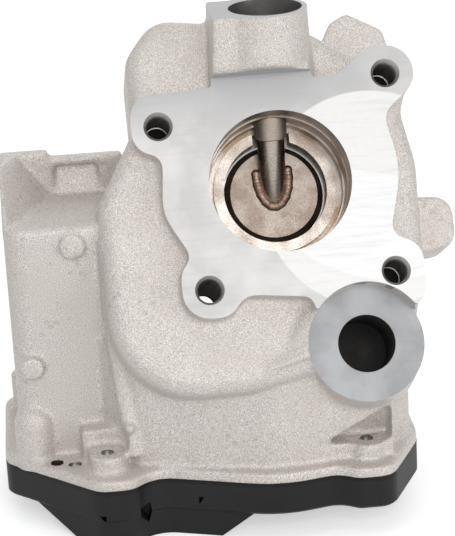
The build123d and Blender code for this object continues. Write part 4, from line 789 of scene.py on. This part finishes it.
# ---- Weld: a bead of overlapping ripples, laid by hand round the lower half of the shaft's joint.
# The shaft leaves the disc as an ellipse, and the bead runs just outside it.
bead = None
ripples = 30
first_turn, last_turn = 176, 368
joint_across, joint_up, joint_middle, joint_depth = 4.0, 8.52, 5.642, 22.0
bead_reach = 0.75
for step in range(ripples):
    angle = radians(first_turn + (last_turn - first_turn) * step / (ripples - 1))
    spot = on_flange((joint_across + bead_reach) * cos(angle),
                     joint_middle + (joint_up + bead_reach) * sin(angle), joint_depth)
    ripple_r = 1.35 + 0.12 * (step % 3 == 0)
    bpy.ops.object.select_all(action="DESELECT")
    bpy.ops.mesh.primitive_uv_sphere_add(
        segments=20, ring_count=12, radius=ripple_r * mm,
        location=spot, rotation=(tilt, 0, 0), scale=(1, 1, 0.8),
    )
    bpy.ops.object.transform_apply(location=True, rotation=True, scale=True)
    ripple = bpy.context.active_object
    if bead:
        bead.select_set(True)
        bpy.context.view_layer.objects.active = bead
        bpy.ops.object.join()
    else:
        bead = ripple
bead.name = "flap_weld"
bead.data.remesh_voxel_size = weld_voxel * mm
select_only(bead)
bpy.ops.object.voxel_remesh()
soften = bead.modifiers.new("soften", "SMOOTH")
soften.iterations = 2
bpy.ops.object.modifier_apply(modifier=soften.name)
combine(bead, flange_block((-12, 12), (-12, 18), joint_depth + 0.02, 30))
bpy.ops.object.shade_smooth()
welded = grainy("weld_bead_steel", (0.45, 2.2), ((0.36, 0.26, 0.20), (0.20, 0.13, 0.10)), (0.35, 0.55),
                dent_mm=0.05, crisp=True, Metallic=0.9)
bead.data.materials.clear()
bead.data.materials.append(welded)
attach(bead, "flap")
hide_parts("weld_bead")

# ---- Bearings, seal and plug: sintered bushes, a rubber lip seal and a zinc-plated cup
bronze = grainy("sintered_bronze", (0.3, 4.0), ((0.50, 0.44, 0.38), (0.38, 0.33, 0.29)), (0.42, 0.58),
                dent_mm=0.02, colour_by="grit", rough_by="blotch", crisp=True, Metallic=0.9)
dress(bronze, "upper_bush", "lower_bush", "motor_top_bush", "motor_front_bush")

rubber = grainy("seal_rubber", (0.4, 5.0), ((0.018, 0.018, 0.018), (0.04, 0.04, 0.04)), (0.5, 0.7),
                dent_mm=0.02, Metallic=0.0)
dress(rubber, "shaft_seal", "cover_gasket", "motor_damper")

zinc = grainy("zinc_plate", (0.6, 5.0), ((0.66, 0.66, 0.65), (0.56, 0.57, 0.58)), (0.25, 0.4),
              dent_mm=0.012, crisp=True, Metallic=1.0)
dress(zinc, "bearing_plug", "motor_can", "motor_plate", "motor_screws", "cover_screws", "cover_dowel")

# ---- Gear train: sintered steel sector and pinions, a moulded idler wheel, a spring steel coil
sintered = grainy("sintered_steel", (0.35, 8.0), ((0.30, 0.30, 0.31), (0.42, 0.42, 0.43)), (0.36, 0.5),
                  dent_mm=0.015, colour_by="grit", rough_by="blotch", crisp=True, Metallic=1.0)
dress(sintered, "sector_gear", "idler_pinion", "motor_pinion")

spring = grainy("spring_steel", (0.5, 3.0), ((0.40, 0.39, 0.38), (0.55, 0.53, 0.50)), (0.25, 0.38),
                dent_mm=0.01, Metallic=1.0)
dress(spring, "return_spring")

nylon = grainy("gear_nylon", (0.5, 9.0), ((0.60, 0.56, 0.46), (0.70, 0.67, 0.58)), (0.35, 0.5),
               dent_mm=0.01, Metallic=0.0)
dress(nylon, "idler_wheel", "brush_holder")

# ---- Motor: ferrite magnets, wound armature, copper commutator and carbon brushes
ferrite = grainy("ferrite", (0.3, 6.0), ((0.05, 0.05, 0.055), (0.12, 0.12, 0.125)), (0.45, 0.6),
                 dent_mm=0.02, colour_by="grit", rough_by="blotch", Metallic=0.2)
dress(ferrite, "motor_magnets", "sensor_magnet")

copper, nodes, links, shader = finish("enamelled_copper", Metallic=0.8)
turns = nodes.new("ShaderNodeTexWave")
turns.bands_direction = "Z"
turns.inputs["Scale"].default_value = 0.5
turns.inputs["Distortion"].default_value = 0.8
links.new(place_in_mm(nodes, links), turns.inputs["Vector"])
winding = turns.outputs["Fac"]
links.new(tint(nodes, links, winding, (0.30, 0.11, 0.05), (0.58, 0.25, 0.11)), shader.inputs["Base Color"])
links.new(remap(nodes, links, winding, 0.0, 1.0, 0.4, 0.28), shader.inputs["Roughness"])
links.new(dent(nodes, links, winding, 0.08), shader.inputs["Normal"])
dress(copper, "motor_armature", "motor_commutator")

carbon = grainy("pressed_carbon", (0.3, 2.0), ((0.03, 0.03, 0.03), (0.09, 0.09, 0.09)), (0.45, 0.6),
                dent_mm=0.02, colour_by="grit", rough_by="blotch", Metallic=0.1)
dress(carbon, "motor_brushes")

# ---- Gear cover: glass-filled charcoal moulding, with its connector, board and sensor chip.
# A painted shade makes it near black in the narrow gap under the casting.
gap_low_z, gap_high_z = -85.6, -85.0
charcoal, nodes, links, shader = finish("charcoal_moulding", Metallic=0.0, IOR=1.34)
grit, blotch, pits = grained(nodes, 0.3, 25.0)
cloud = remap(nodes, links, blotch, *wide)
moulding = tint(nodes, links, cloud, (0.006, 0.006, 0.0065), (0.011, 0.011, 0.0115))
height = nodes.new("ShaderNodeSeparateXYZ")
links.new(place_in_mm(nodes, links), height.inputs[0])
# Painted shade: a thin band of the cover just under the parting face is painted near black
painted_gap_shade = remap(nodes, links, height.outputs["Z"], gap_low_z, gap_high_z)
links.new(tint(nodes, links, painted_gap_shade, moulding, (0.0015, 0.0015, 0.0015)), shader.inputs["Base Color"])
links.new(remap(nodes, links, grit, *wide, 0.42, 0.56), shader.inputs["Roughness"])
links.new(dent(nodes, links, grit, 0.02), shader.inputs["Normal"])
dress(charcoal, "gear_cover")

tin = grainy("tinned_pin", (0.4, 2.0), ((0.62, 0.60, 0.55), (0.76, 0.74, 0.69)), (0.2, 0.35), Metallic=1.0)
dress(tin, "connector_pins")

board = grainy("board_green", (0.2, 3.0), ((0.015, 0.08, 0.035), (0.03, 0.13, 0.06)), (0.25, 0.4), Metallic=0.0)
dress(board, "sensor_board")

chip = grainy("chip_moulding", (0.15, 3.0), ((0.015, 0.015, 0.015), (0.03, 0.03, 0.03)), (0.45, 0.6),
              colour_by="grit", Metallic=0.0)
dress(chip, "position_sensor")
